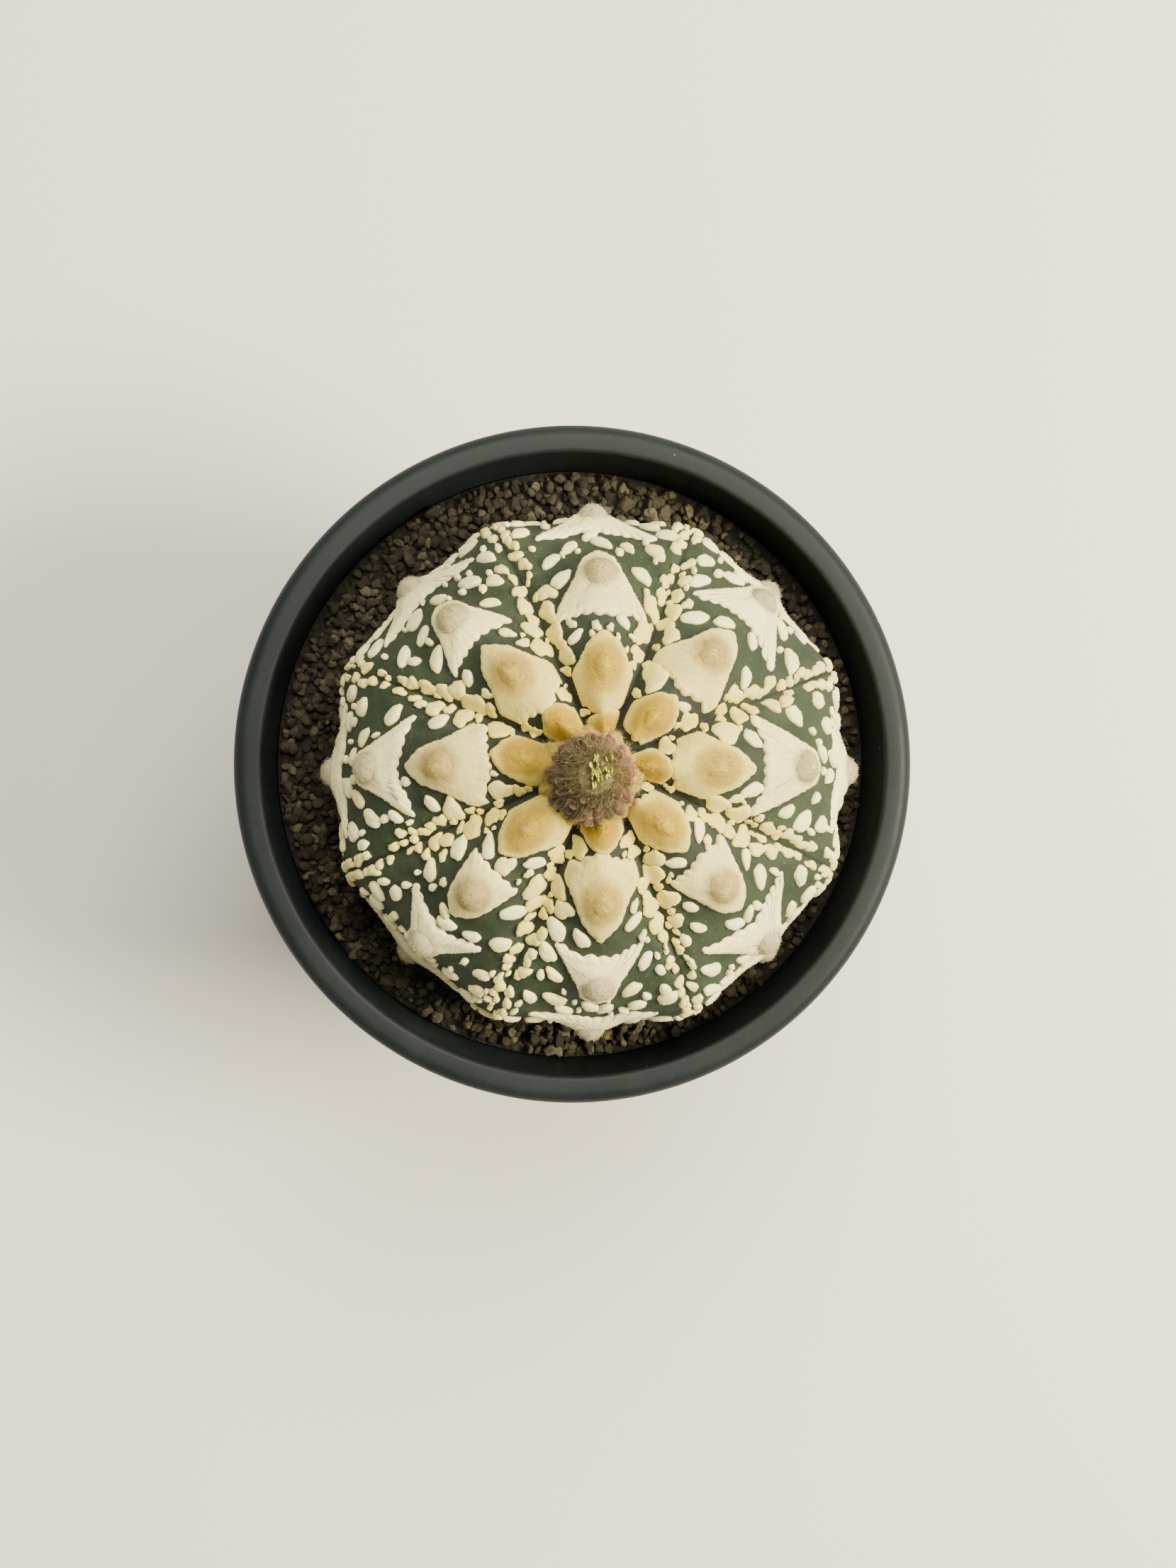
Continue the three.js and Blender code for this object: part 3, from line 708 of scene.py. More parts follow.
@dataclass
class AreoleWool:
    """The round cushions of wool on the areoles, with their short hairs."""

    form: BodyForm
    sides: int = 48
    young_height: float = 1.4
    old_height: float = 2.05
    edge_lift: float = 0.4
    pit_depth: float = 0.16
    pit_width: float = 0.28
    root: float = 0.4
    hairs: int = 420
    fur: Fur = Fur((0.275, 0.66), 0.5, 0.055)
    shares: tuple = (1, 1, 0.93, 0.84, 0.72, 0.58, 0.42, 0.26, 0.12)

    def lift_at(self, share: Number, at: float) -> Array:
        """Height of a cushion over the skin at a share of its radius."""
        old = float(smooth(14, 34, at))
        height = float(mix(self.young_height, self.old_height, old))
        dome = (1 - share**2) ** float(mix(1.5, 0.62, old))
        pit = self.pit_depth * old * np.exp(-((share / self.pit_width) ** 2))
        return self.edge_lift + (height - self.edge_lift) * dome - pit

    def build(self, coat: Coat) -> None:
        """Make the cushions and their hairs as two pieces."""
        cushions, hairs = Shell(), Shell()
        source = np.random.default_rng(21)
        turn = round_turn(self.sides)
        share = np.array(self.shares)[:, None]
        for rib, areole in self.form.every_areole():
            at = areole[0]
            wobble = 1 + 0.05 * np.sin(3 * turn + source.uniform(0, 6)) + 0.03 * np.sin(7 * turn)
            out = share * wobble * wool_radius(at)
            side, along = out * np.cos(turn), out * np.sin(turn) * wool_stretch(at)
            angle, distance = self.form.near(rib, areole, side, along)
            lift = self.lift_at(share, at) + 0.05 * waves(self.form.point(angle, distance), 0.9, 5)
            lift[0] = -self.root
            rings = self.form.point(angle, distance, lift)
            ends = np.array([-self.root, float(self.lift_at(0.0, at))])
            foot, top = self.form.point(self.form.angle_of(rib, areole), np.full(2, at), ends)
            reach = np.broadcast_to(share, out.shape)
            values = {"age": age_at(at), "reach": np.concatenate([[1], reach.ravel(), [0]])}
            cushions.loft(foot, rings, top, **values)
            hairs.grow_fur(rings[1:], self.hairs, self.fur, source, age=age_at(at), reach=reach[1:])
        cushions.piece("areole_wool", coat, "cactus_body")
        hairs.piece("areole_hairs", coat, "cactus_body")


@dataclass
class Fleck:
    """One small pad of felt on the skin."""

    angle: float
    distance: float
    length: float
    width: float
    slant: float
    tint: float
    lobes: float
    height: float


@dataclass
class HalfRib:
    """A rib's half from its crest to a furrow, and the distance, side and size of what lies on it."""

    form: BodyForm
    number: int
    taken: list[Triple] = field(default_factory=list)

    def __post_init__(self) -> None:
        """Find the rib and the side."""
        self.rib = self.number // 2
        self.hand = 1 if self.number % 2 else -1

    def width(self, distance: float) -> float:
        """How far its furrow is from its crest."""
        return self.form.pitch / 2 * self.form.radius_at(distance)

    def angle(self, side: float, distance: float) -> float:
        """Angle of a place some way to the side of the crest."""
        return self.rib * self.form.pitch + side / self.form.radius_at(distance)

    def clearance(self, side: float, distance: float) -> float:
        """Distance from a place to the nearest felt patch."""
        turn, way = np.array([side / self.form.radius_at(distance)]), np.array([distance])
        return min(
            -float(away_from(self.form.patch_corners(areole), self.form.steps_from(areole, turn, way))[0])
            for areole in self.form.areoles[self.rib]
        )


@dataclass
class FeltFlecks:
    """The white flecks between the patches and the cream ones that line the furrows."""

    form: BodyForm
    start: float = 13.0
    end: float = 62.0
    tries: int = 260
    spaced: int = 4
    most: int = 13
    length: float = 4.2
    width: float = 2.4
    gap: float = 0.9
    spacing: float = 4.4
    close_gap: float = 0.55
    close_spacing: float = 3.7
    slant: float = 0.7
    furrow_margin: float = 1.9
    furrow_tries: int = 1100
    furrow_start: float = 7.5
    furrow_reach: float = 58.0
    furrow_widths: Pair = (3.3, 0.7)
    lined: tuple = (0.6, 0.2, 0.5, 0.8, 0.45, 0.4, 0.15, 0.25, 0.6, 0.15, 0.35, 0.35, 0.3, 0.7, 0.4, 0.7)
    strewn_from: float = 30.0
    strewn_width: float = 1.6
    root: float = 0.6
    fibres: float = 5.75
    fur: Fur = Fur((0.18, 0.4), 0.25)
    sides: int = 18
    shares: tuple = ((1, -0.6), (1, 0.12), (0.95, 0.48), (0.8, 0.78), (0.52, 0.95), (0.24, 1.0))

    def white_flecks(self, half: HalfRib) -> list[Fleck]:
        """Throw flecks at half a rib and keep those that clear its patches and each other."""
        kept = []
        for n in range(self.tries):
            if len(kept) >= self.most:
                break
            chance = [draw((half.number * self.tries + n) * 5 + k) for k in range(5)]
            distance = float(mix(self.start, self.end, chance[0]))
            close = len(kept) >= self.spaced
            size = (0.62 if close else 0.72) + 0.36 * chance[1]
            room = half.width(distance) - self.furrow_margin - self.width / 2
            side = half.hand * room * chance[2]
            slant = -half.hand * (self.slant + 0.5 * (chance[3] - 0.5))
            spacing = self.close_spacing if close else self.spacing
            gap = (self.close_gap if close else self.gap) + self.width / 2 * size
            apart = all(math.hypot(a - distance, b - side) > spacing for a, b, _ in half.taken)
            if room >= 2 and apart and half.clearance(side, distance) > gap:
                length, width = self.length * size, self.width * size
                half.taken.append((distance, side, (length + width) / 2))
                angle = half.angle(side, distance)
                kept.append(Fleck(angle, distance, length, width, slant, 0.35 * chance[4], 0.08, 0.8))
        return kept

    def furrow_flecks(self, half: HalfRib, source: Source) -> list[Fleck]:
        """Fill the room by the crown and the furrow with the largest first, and strew small white ones.

        Args:
            half: The half of a rib, with its white flecks.
            source: Random numbers.

        Returns:
            Uneven lobed flecks, cream by the furrow.
        """
        kept = []
        for n in range(self.furrow_tries):
            width = float(mix(*self.furrow_widths, (n / self.furrow_tries) ** 0.7))
            width *= source.uniform(0.85, 1.15)
            distance = self.furrow_start + self.furrow_reach * source.random() ** 1.4
            big = 1 - float(smooth(18, 36, distance))
            off = width * float(mix(0.55, 0.32, big)) + source.exponential(float(mix(0.35, 2.0, big)))
            room = half.width(distance)
            busy = 0.5 + 0.5 * math.sin(distance * 0.42 + half.number * 2.1)
            bare = source.random() > mix(busy * self.lined[half.number], 1, 0.06 + 0.94 * big)
            strewn = n % 8 == 0 and distance > self.strewn_from
            if strewn:
                off = source.uniform(1.5, room)
                bare = width > self.strewn_width
            if bare or width > mix(1.65, 3.6, big) or off > (room if strewn else mix(2.4, room, big)):
                continue
            length = width * source.uniform(1.05, 1.6)
            across = (width + length) / 2
            side = half.hand * (room - off)
            near = any(
                math.hypot(a - distance, b - side) < (c + across) * 0.45 + 0.05 for a, b, c in half.taken
            )
            if near or half.clearance(side, distance) < width * 0.5 + 0.15:
                continue
            half.taken.append((distance, side, across))
            slant = math.pi / 2 + source.normal(0, 0.5)
            cream = float(np.clip(1.1 - off / 6, 0.4, 0.95) * mix(1, 0.6, smooth(20, 45, distance)))
            tint, lobes = (0.1, 0.08) if strewn else (cream, 0.15)
            angle = half.angle(side, distance)
            kept.append(Fleck(angle, distance, length, width, slant, tint, lobes, 0.75))
        return kept

    def add_fleck(self, shell: Shell, fibres: Shell, fleck: Fleck, source: Source) -> None:
        """Add one fleck to a mesh, and its fibres to another."""
        turn = round_turn(self.sides)
        uneven = np.ones(self.sides)
        for lobes, strength in ((2, 1), (3, 0.8), (5, 0.5)):
            uneven += fleck.lobes * strength * np.sin(lobes * turn + source.uniform(0, 6))
        across = fleck.width / 2 * uneven * (1 + 0.14 * np.cos(turn)) * np.sin(turn)
        along = fleck.length / 2 * uneven * np.cos(turn)
        x = along * math.cos(fleck.slant) - across * math.sin(fleck.slant)
        y = along * math.sin(fleck.slant) + across * math.cos(fleck.slant)
        share, lift = np.array(self.shares)[:, :1], np.array(self.shares)[:, 1:]
        lift = np.where(lift < 0, lift, lift * fleck.height)
        turned = share * x / self.form.radius_at(fleck.distance)
        rings = self.form.point(fleck.angle + turned, fleck.distance + share * y, lift)
        rings += 0.04 * waves(rings, 0.9, 6)[..., None] * (lift > 0.2)[..., None]
        ends = np.array([-self.root, fleck.height * 1.01])
        foot, top = self.form.point(fleck.angle, np.full(2, fleck.distance), ends)
        # The edge value gives each fleck and its fibres painted highlight, strongest at the fleck's rim.
        ramp = np.exp(-((1 - np.broadcast_to(share, rings.shape[:2])) / 0.3)).ravel()
        age = 1 - fleck.tint
        shell.loft(foot, rings, top, age=age, stain=0, edge=np.concatenate([[1], 0.5 + 0.5 * ramp, [0.5]]))
        count = int(self.fibres * fleck.length * fleck.width)
        fibres.grow_fur(rings[1:], count, self.fur, source, age=age, stain=0, edge=0.7)

    def build(self, coat: Coat) -> None:
        """Make the two kinds of fleck as a piece each, and the fibres on them as another."""
        halves = [HalfRib(self.form, number) for number in range(2 * self.form.ribs)]
        white = [fleck for half in halves for fleck in self.white_flecks(half)]
        source = np.random.default_rng(34)
        lining = [fleck for half in halves for fleck in self.furrow_flecks(half, source)]
        source = np.random.default_rng(55)
        fibres = Shell()
        for name, flecks in (("felt_flecks", white), ("furrow_flecks", lining)):
            shell = Shell()
            for fleck in flecks:
                self.add_fleck(shell, fibres, fleck, source)
            shell.piece(name, coat, "cactus_body")
            LOG.info("%s: %d flecks", name, len(flecks))
        fibres.piece("fleck_fibres", coat, "cactus_body")


@dataclass(frozen=True)
class PetalCluster:
    """How many petal tips stand together, where from the bud's middle, and how far they spread."""

    count: int
    middle: Pair
    spread: Pair


@dataclass
class FlowerBud:
    """The bud in the crown: scales in rings, wool between them and petal tips in the mouth.

    Each ring is its share of the bud's height, its number of scales and their size. The collar is
    radii with levels over the crown, and the hairs are longer between the scales than in the mouth.
    """

    form: BodyForm
    offset: Pair = (-2.0, -2.4)
    lean: Pair = (0.5, 0.9)
    radius: float = 5.15
    height: float = 12.5
    seat: float = 0.7
    rings: tuple = (
        (0.26, 21, 0.95), (0.4, 21, 1.0), (0.52, 19, 1.02), (0.64, 17, 1.05), (0.75, 13, 0.95), (0.85, 8, 0.8)
    )
    core: tuple = (0, 0.1, 0.2, 0.32, 0.45, 0.58, 0.7, 0.8, 0.87, 0.9)
    core_top: float = 0.88
    mouth: float = 0.87
    narrow: float = 0.93
    scale_size: Triple = (2.9, 1.45, 0.42)
    scale_tips: tuple = (0, 0.1, 0.35, 0.75, 1, 1, 1)
    blade_sides: int = 10
    blade_outline: tuple = (
        (0, 0.5), (0.22, 0.74), (0.46, 0.96), (0.66, 1), (0.82, 0.84), (0.93, 0.55), (0.985, 0.24)
    )
    hairs: int = 5600
    mouth_hairs: int = 1900
    hair_lengths: Pair = (3.1, 1.6)
    hair_width: float = 0.055
    hair_droop: float = 0.45
    collar: tuple = (
        (7.9, 0.6), (7.7, 2.0), (7.1, 2.9), (6.4, 3.4), (5.6, 3.5), (4.5, 3.0), (3.5, 2.0), (3.5, 0.6)
    )
    collar_shift: float = 0.85
    collar_hairs: int = 4200
    collar_fur: Fur = Fur((0.5, 1.5), 0.7, 0.045, 0.5)
    petals: tuple = (PetalCluster(34, (-0.2, 0.7), (0.5, 1.9)), PetalCluster(9, (1.6, 1.2), (0.22, 1.9)))
    petal_tips: tuple = (0, 0.1, 0.35, 0.65, 0.9, 1, 1)
    petal_seat: float = 0.82
    petal_lengths: Pair = (2.7, 2.1)
    petal_widths: Pair = (0.7, 1.3)
    petal_thickness: float = 0.26

    def radius_at(self, share: Number) -> Array:
        """Radius of the bud's core at a share of its height."""
        body = 0.55 + 0.45 * smooth(0, 0.32, share)
        return self.radius * body * np.sqrt(1 - np.clip(share, 0, 1) ** 3.2)

    def place(self, turn: Number, share: Number, r: Number) -> Array:
        """Give points about the bud's leaning middle line."""
        crown = self.form.point(0.0, 0.0)
        x = crown[0] + self.offset[0] + self.lean[0] * share + self.narrow * r * np.cos(turn)
        y = crown[1] + self.offset[1] + self.lean[1] * share + r * np.sin(turn)
        return joined(x, y, crown[2] + self.seat + self.height * share)

    def splay(self, share: Number) -> Number:
        """How far scales and hairs lean outwards for each step up, at a share of the height."""
        return mix(1.7, 0.3, smooth(0.25, 0.85, share))

    def blade(self, root: Array, forward: Array, outward: Array, size: Triple) -> Array:
        """Rings of a fleshy rounded blade.

        Args:
            root: Where it starts.
            forward: Where it points.
            outward: Which way its back faces.
            size: Its length, width and thickness.

        Returns:
            Points, as rings by points by coordinates.
        """
        length, width, thickness = size
        forward = unit(forward)
        side = unit(np.cross(forward, outward))
        back = np.cross(side, forward)
        turn = round_turn(self.blade_sides)
        rings = []
        for along, wide in self.blade_outline:
            middle = root + forward * length * along + back * thickness * 0.9 * math.sin(along * 2.2)
            across, deep = width / 2 * wide * np.cos(turn), thickness / 2 * wide**0.6 * np.sin(turn)
            rings.append(middle + side * across[:, None] + back * deep[:, None])
        return np.array(rings)

    def add_blade(
        self, shell: Shell, root: Array, rings: Array, end: Array, tips: Array, **values: Number
    ) -> None:
        """Add a blade to a mesh.

        Args:
            shell: The mesh.
            root: The blade's start.
            rings: Its rings of points.
            end: The step from the middle of its last ring to its end.
            tips: How far each ring has the tip's colour.
            values: One number for each other named value.
        """
        tip = np.concatenate([[0], np.repeat(tips, self.blade_sides), tips[-1:]])
        shell.loft(root, rings, rings[-1].mean(axis=0) + end, tip=tip, **values)

    def build_core(self, coat: Coat) -> None:
        """Make the bud's inner body, nearly flat at the mouth."""
        shares = np.array(self.core)[:, None]
        rings = self.place(round_turn(64), shares, self.radius_at(shares) * 0.97)
        plain = {"tip": 0, "pink": 0, "fuzz": 0}
        shell = Shell()
        shell.loft(self.place(0.0, 0.0, 0.0), rings, self.place(0.0, self.core_top, 0.0), **plain)
        shell.piece("bud_core", coat, "flower_bud")

    def build_scales(self, coat: Coat) -> None:
        """Make the rings of scales, pinker on one side."""
        shell = Shell()
        source = np.random.default_rng(13)
        middle = self.place(0.0, 0.5, 0.0)
        for level, (share, count, size) in enumerate(self.rings):
            for n in range(count):
                turn = TURN * (n + 0.5 * (level % 2) + 0.28 * source.normal()) / count
                at = min(0.9, share + 0.028 * source.normal())
                root = self.place(turn, at - 0.1, float(self.radius_at(at)) * 0.9)
                outward = unit((root - middle) * [1, 1, 0])
                splay = float(self.splay(at)) + 0.16 * source.normal()
                forward = outward * splay + UP + 0.12 * source.normal(size=3)
                pink = float(np.exp(-((wrapped(turn - 0.2) / 0.85) ** 2)))
                pink = min(1, pink * source.uniform(0.6, 1.1) + 0.3 * source.random() ** 2)
                length, width, thickness = self.scale_size
                length *= size * source.uniform(0.85, 1.12)
                width *= size * source.uniform(0.8, 1.15)
                rings = self.blade(root, forward, outward, (length, width, thickness))
                tips = np.array(self.scale_tips) * source.uniform(0.75, 1)
                self.add_blade(shell, root, rings, unit(forward) * 0.05, tips, pink=pink, fuzz=0)
        shell.piece("bud_scales", coat, "flower_bud")

    def build_hairs(self, coat: Coat) -> None:
        """Make the fine tan hairs that stand between the scales and over the mouth."""
        source = np.random.default_rng(17)
        turn = source.uniform(0, TURN, self.hairs)
        share = np.sqrt(source.uniform(0.1, 0.81, self.hairs))
        over_mouth = np.arange(self.hairs) < self.mouth_hairs
        share[over_mouth] = self.mouth
        inside = np.where(over_mouth, np.sqrt(source.random(self.hairs)), 0.97)
        roots = self.place(turn, share, self.radius_at(share) * inside)
        outward = joined(np.cos(turn), np.sin(turn), 0)
        loose = np.where(over_mouth, 0.9, 0.4)[:, None] * source.normal(size=roots.shape)
        direction = outward * self.splay(share)[:, None] + UP + loose
        longest = np.where(over_mouth, *self.hair_lengths[::-1])
        length = np.minimum(source.uniform(0.4, 1, self.hairs) * longest, (HIGHEST - roots[:, 2]) * 0.9)
        # Painted light and shade: towards the south-west, away from the lights, the hairs get more of the
        # dark tip colour and less pale fuzz; towards the north-east they are paler.
        shaded = 0.5 - 0.5 * np.cos(turn - math.pi / 4)
        values = {
            "tip": source.uniform(0.0, 0.3, self.hairs) + mix(0.3 * over_mouth, 0.5, shaded),
            "pink": 0.6 * np.exp(-((wrapped(turn - 0.3) / 0.8) ** 2)),
            "fuzz": smooth(0.82, 0.4, share) * mix(0.9, 0.3, shaded) * source.uniform(0.5, 1, self.hairs),
        }
        shell = Shell()
        shell.add_fibres(roots, direction, length, self.hair_width, self.hair_droop, source, **values)
        shell.piece("bud_hairs", coat, "flower_bud")

    def build_collar(self, coat: Coat) -> None:
        """Make the matted wool that fills the crown round the bud's foot."""
        turn = round_turn(96)
        crown = self.form.point(0.0, 0.0)
        middle = crown + [self.offset[0] * self.collar_shift, self.offset[1] * self.collar_shift, 0]
        uneven = 1 + 0.05 * np.sin(5 * turn + 1) + 0.05 * np.sin(8 * turn) + 0.03 * np.sin(21 * turn)
        rings = np.array([circle(turn, r * uneven, z) for r, z in self.collar]) + middle
        rings[..., 2] += 0.3 * waves(rings, 1.6, 9) * (rings[..., 2] > crown[2] + 1)
        shell = Shell()
        shell.loft(middle + [0, 0, 0.2], rings, middle + [0, 0, 0.6], age=0.1, reach=0.1)
        source = np.random.default_rng(19)
        shell.grow_fur(rings[1:-2], self.collar_hairs, self.collar_fur, source, age=0.4, reach=0.1)
        shell.piece("crown_wool", coat, "flower_bud")

    def build_petals(self, coat: Coat) -> None:
        """Make the crowded petal tips in the mouth, in two clusters longer than wide."""
        shell = Shell()
        source = np.random.default_rng(29)
        for cluster in self.petals:
            for _ in range(cluster.count):
                outward = math.sqrt(source.random())
                turn = source.uniform(0, TURN)
                x, y = np.array(cluster.spread) * outward * [math.cos(turn), math.sin(turn)]
                aside = np.array([cluster.middle[0] + x, cluster.middle[1] + y, 0])
                root = self.place(0.0, self.petal_seat, 0.0) + aside
                forward = np.array([0.2 * x, 0.1 * y, 1.0]) + 0.12 * source.normal(size=3)
                length = float(mix(*self.petal_lengths, outward)) * source.uniform(0.85, 1.05)
                length = min(length, HIGHEST - root[2])
                size = (length, source.uniform(*self.petal_widths), self.petal_thickness)
                rings = self.blade(root, forward, np.array([1.0, 0, 0]) + 0.3 * source.normal(size=3), size)
                rings[-3:] += 0.05 * source.normal(size=(3, self.blade_sides, 3))
                end, tips = np.array([0, 0, 0.04]), np.array(self.petal_tips)
                self.add_blade(shell, root, rings, end, tips, pink=source.random())
        shell.piece("bud_petals", coat, "flower_bud")


@dataclass
class Grit:
    """Loose grit over a dark bed that fills the pot."""

    pot: PotForm
    form: BodyForm
    pitch: float = 1.5
    smallest: float = 0.5
    largest: float = 1.45
    jitter: float = 0.28
    loose: int = 620
    facets: int = 6
    sides: int = 160

    def grain(self) -> tuple[Array, Array]:
        """Points and faces of a plain ball of 80 faces."""
        ball = bpy.data.meshes.new("ball")
        shape = bmesh.new()
        bmesh.ops.create_icosphere(shape, subdivisions=2, radius=1.0)
        shape.to_mesh(ball)
        shape.free()
        points = np.array([corner.co[:] for corner in ball.vertices])
        faces = np.array([face.vertices[:] for face in ball.polygons])
        bpy.data.meshes.remove(ball)
        return points, faces

    def places(self, source: Source) -> Array:
        """Middle and size of every grain: a close layer, then loose grains on it."""
        inner = self.form.radius_at(self.form.soil_line)
        outer = float(self.pot.wall_at(self.pot.soil_level)) - self.pot.wall - self.pot.clearance
        row_pitch = self.pitch * 0.9
        along, rows = np.arange(-outer, outer, self.pitch), np.arange(-outer, outer, row_pitch)
        x, y = (line.ravel() for line in np.meshgrid(along, rows))
        x = x + np.where(np.round(y / row_pitch) % 2 == 0, 0, self.pitch / 2)
        x, y = (np.concatenate([line, source.uniform(-outer, outer, self.loose * 4)]) for line in (x, y))
        loose = np.arange(len(x)) >= len(x) - self.loose * 4
        x, y = (line + source.normal(0, self.jitter, len(x)) * ~loose for line in (x, y))
        size = self.smallest + (self.largest - self.smallest) * source.beta(1.6, 2.4, len(x))
        size[loose] *= 0.9
        from_plant = np.hypot(x - self.form.centre[0], y - self.form.centre[1])
        kept = (np.hypot(x, y) < outer - size * 0.95) & (from_plant > inner + size * 0.7)
        kept &= ~loose | (np.cumsum(loose & kept) <= self.loose)
        lumps = 0.35 * waves(joined(x, y), 7.0, 41)
        z = self.pot.soil_level + lumps + np.where(loose, 0.75, 0.05) + source.normal(0, 0.22, len(x))
        return joined(x, y, z, size)[kept]

    def build(self, grain_coat: Coat, bed_coat: Coat) -> None:
        """Make the bed and the grains."""
        self.build_bed(bed_coat)
        source = np.random.default_rng(77)
        ball, faces = self.grain()
        places = self.places(source)
        for name, chosen in (("grit_left", places[:, 0] < 0), ("grit_right", places[:, 0] >= 0)):
            shell = Shell()
            for x, y, z, size in places[chosen]:
                lumpy = ball * (1 + 0.16 * waves(ball, 1.6, int(source.integers(1 << 30)))[:, None])
                for _ in range(self.facets):
                    facing = unit(source.normal(size=3))
                    over = np.maximum(0, lumpy @ facing - source.uniform(0.5, 0.85))
                    lumpy = lumpy - over[:, None] * facing
                spread = source.uniform(0.8, 1.3, 3) * [1, 1, 0.85]
                turn = np.linalg.qr(source.normal(size=(3, 3)))[0]
                turn *= np.sign(np.linalg.det(turn))
                points = (lumpy * spread) @ turn * size + [x, y, z]
                shell.add(points, [], faces, tint=source.random(), shade=source.random())
            shell.piece(name, grain_coat, "soil", faceted=True)

    def build_bed(self, coat: Coat) -> None:
        """Make the body of soil, with the plant's hollow in its top, as one closed skin."""
        pot, form = self.pot, self.form
        foot, loose_fit = pot.floor_top + pot.clearance, pot.clearance
        bottom, top = (float(pot.wall_at(z)) - pot.wall - loose_fit for z in (foot, pot.soil_level))
        hollow = form.radius_at(form.soil_line) + loose_fit
        profile = [(bottom, foot, 0.0), (top, pot.soil_level - 0.6, 0.0)]
        profile += [(mix(top, hollow, k / 12), pot.soil_level - 0.35, k / 12) for k in range(1, 13)]
        *keel, (tip, deepest) = form.root(4.0, 6.0)
        profile += [(r + loose_fit, z - 0.2, 1.0) for r, z in keel]
        profile.append((tip + loose_fit, deepest - 0.5, 1.0))
        turn = round_turn(self.sides)
        x, y = form.centre
        rings = np.array([circle(turn, r, z, (x * share, y * share)) for r, z, share in profile])
        shell = Shell()
        shell.loft(np.array([0, 0, foot]), rings, np.array([x, y, deepest - loose_fit]))
        shell.piece("soil_bed", coat, "soil")


@dataclass
class Pot:
    """The round plastic pot, turned finely, with its drain holes cut."""

    form: PotForm
    sides: int = 256
    drain_sides: int = 40
    drain_ends: Pair = (1.0, 8.0)
    fillet: float = 0.35
    sharp: float = 38.0

    def profile(self) -> list[Pair]:
        """Radius and height of the shell's outline, from the middle of its underside."""
        form, cut = self.form, self.fillet
        collar_foot = form.height - form.collar_height
        collar_top = form.height - form.rim_lip - 1
        collar_radius = form.rim_radius - form.collar_taper
        collar_inside = form.rim_radius - form.collar_thickness
        foot_inside = form.base_radius - form.foot_width
        inner_foot = float(form.wall_at(form.floor_top)) - form.wall
        out, up = (1 - wave(np.linspace(0, math.pi / 2, 9)) for wave in (np.cos, np.sin))
        lip = joined(form.rim_radius - form.rim_lip * out, form.height - form.rim_lip * up)
        down, back = (1 - wave(np.linspace(0, math.pi / 2, 6)) for wave in (np.cos, np.sin))
        edge = joined(form.mouth_radius + form.rim_edge * back, form.height - form.rim_edge * down)
        return [
            (foot_inside, form.floor_lift),
            (foot_inside, cut),
            (foot_inside + cut, 0),
            (form.base_radius - cut, 0),
            *((float(form.wall_at(z)), z) for z in (cut, collar_foot * 0.5, collar_top)),
            (collar_inside, collar_top),
            (collar_inside - form.collar_taper, collar_foot + cut),
            (collar_inside - form.collar_taper + cut, collar_foot),
            (collar_radius - cut, collar_foot),
            (collar_radius, collar_foot + cut),
            *lip,
            *edge,
            (mix(form.mouth_radius, inner_foot, 0.3), mix(form.height, form.floor_top, 0.3)),
            (inner_foot + 0.02, form.floor_top + 1.2),
            (inner_foot - 1.2, form.floor_top),
        ]

    def build(self, coat: Coat) -> None:
        """Make the pot as one closed mesh."""
        form = self.form
        rings = np.array([circle(round_turn(self.sides), r, z) for r, z in self.profile()])
        shell = Shell()
        shell.loft(np.array([0, 0, form.floor_lift]), rings, np.array([0, 0, form.floor_top]))
        whole = link_object("pot_whole", shell.mesh("pot_whole"))
        drains = link_object("drains", self.drain_mesh())
        cut = whole.modifiers.new("drains", "BOOLEAN")
        cut.object = drains
        cut.operation = "DIFFERENCE"
        cut.solver = "EXACT"
        evaluated = whole.evaluated_get(bpy.context.evaluated_depsgraph_get())
        mesh = bpy.data.meshes.new_from_object(evaluated)
        mesh.name = "pot_shell"
        for thing in (whole, drains):
            bpy.data.objects.remove(thing)
        mesh.shade_smooth()
        mesh.set_sharp_from_angle(angle=math.radians(self.sharp))
        mesh.materials.clear()
        place_piece(mesh, coat, "pot")

    def drain_mesh(self) -> bpy.types.Mesh:
        """Make the plugs that cut the drain holes."""
        form = self.form
        ways, turn = round_turn(form.drain_count), round_turn(self.drain_sides)
        shell = Shell()
        for x, y in [(0.0, 0.0), *(form.drain_circle * joined(np.cos(ways), np.sin(ways)))]:
            low, high = (np.array([x, y, z]) for z in self.drain_ends)
            rings = np.array([circle(turn, form.drain_radius, z, (x, y)) for z in self.drain_ends])
            shell.loft(low, rings, high)
        return shell.mesh("drains")


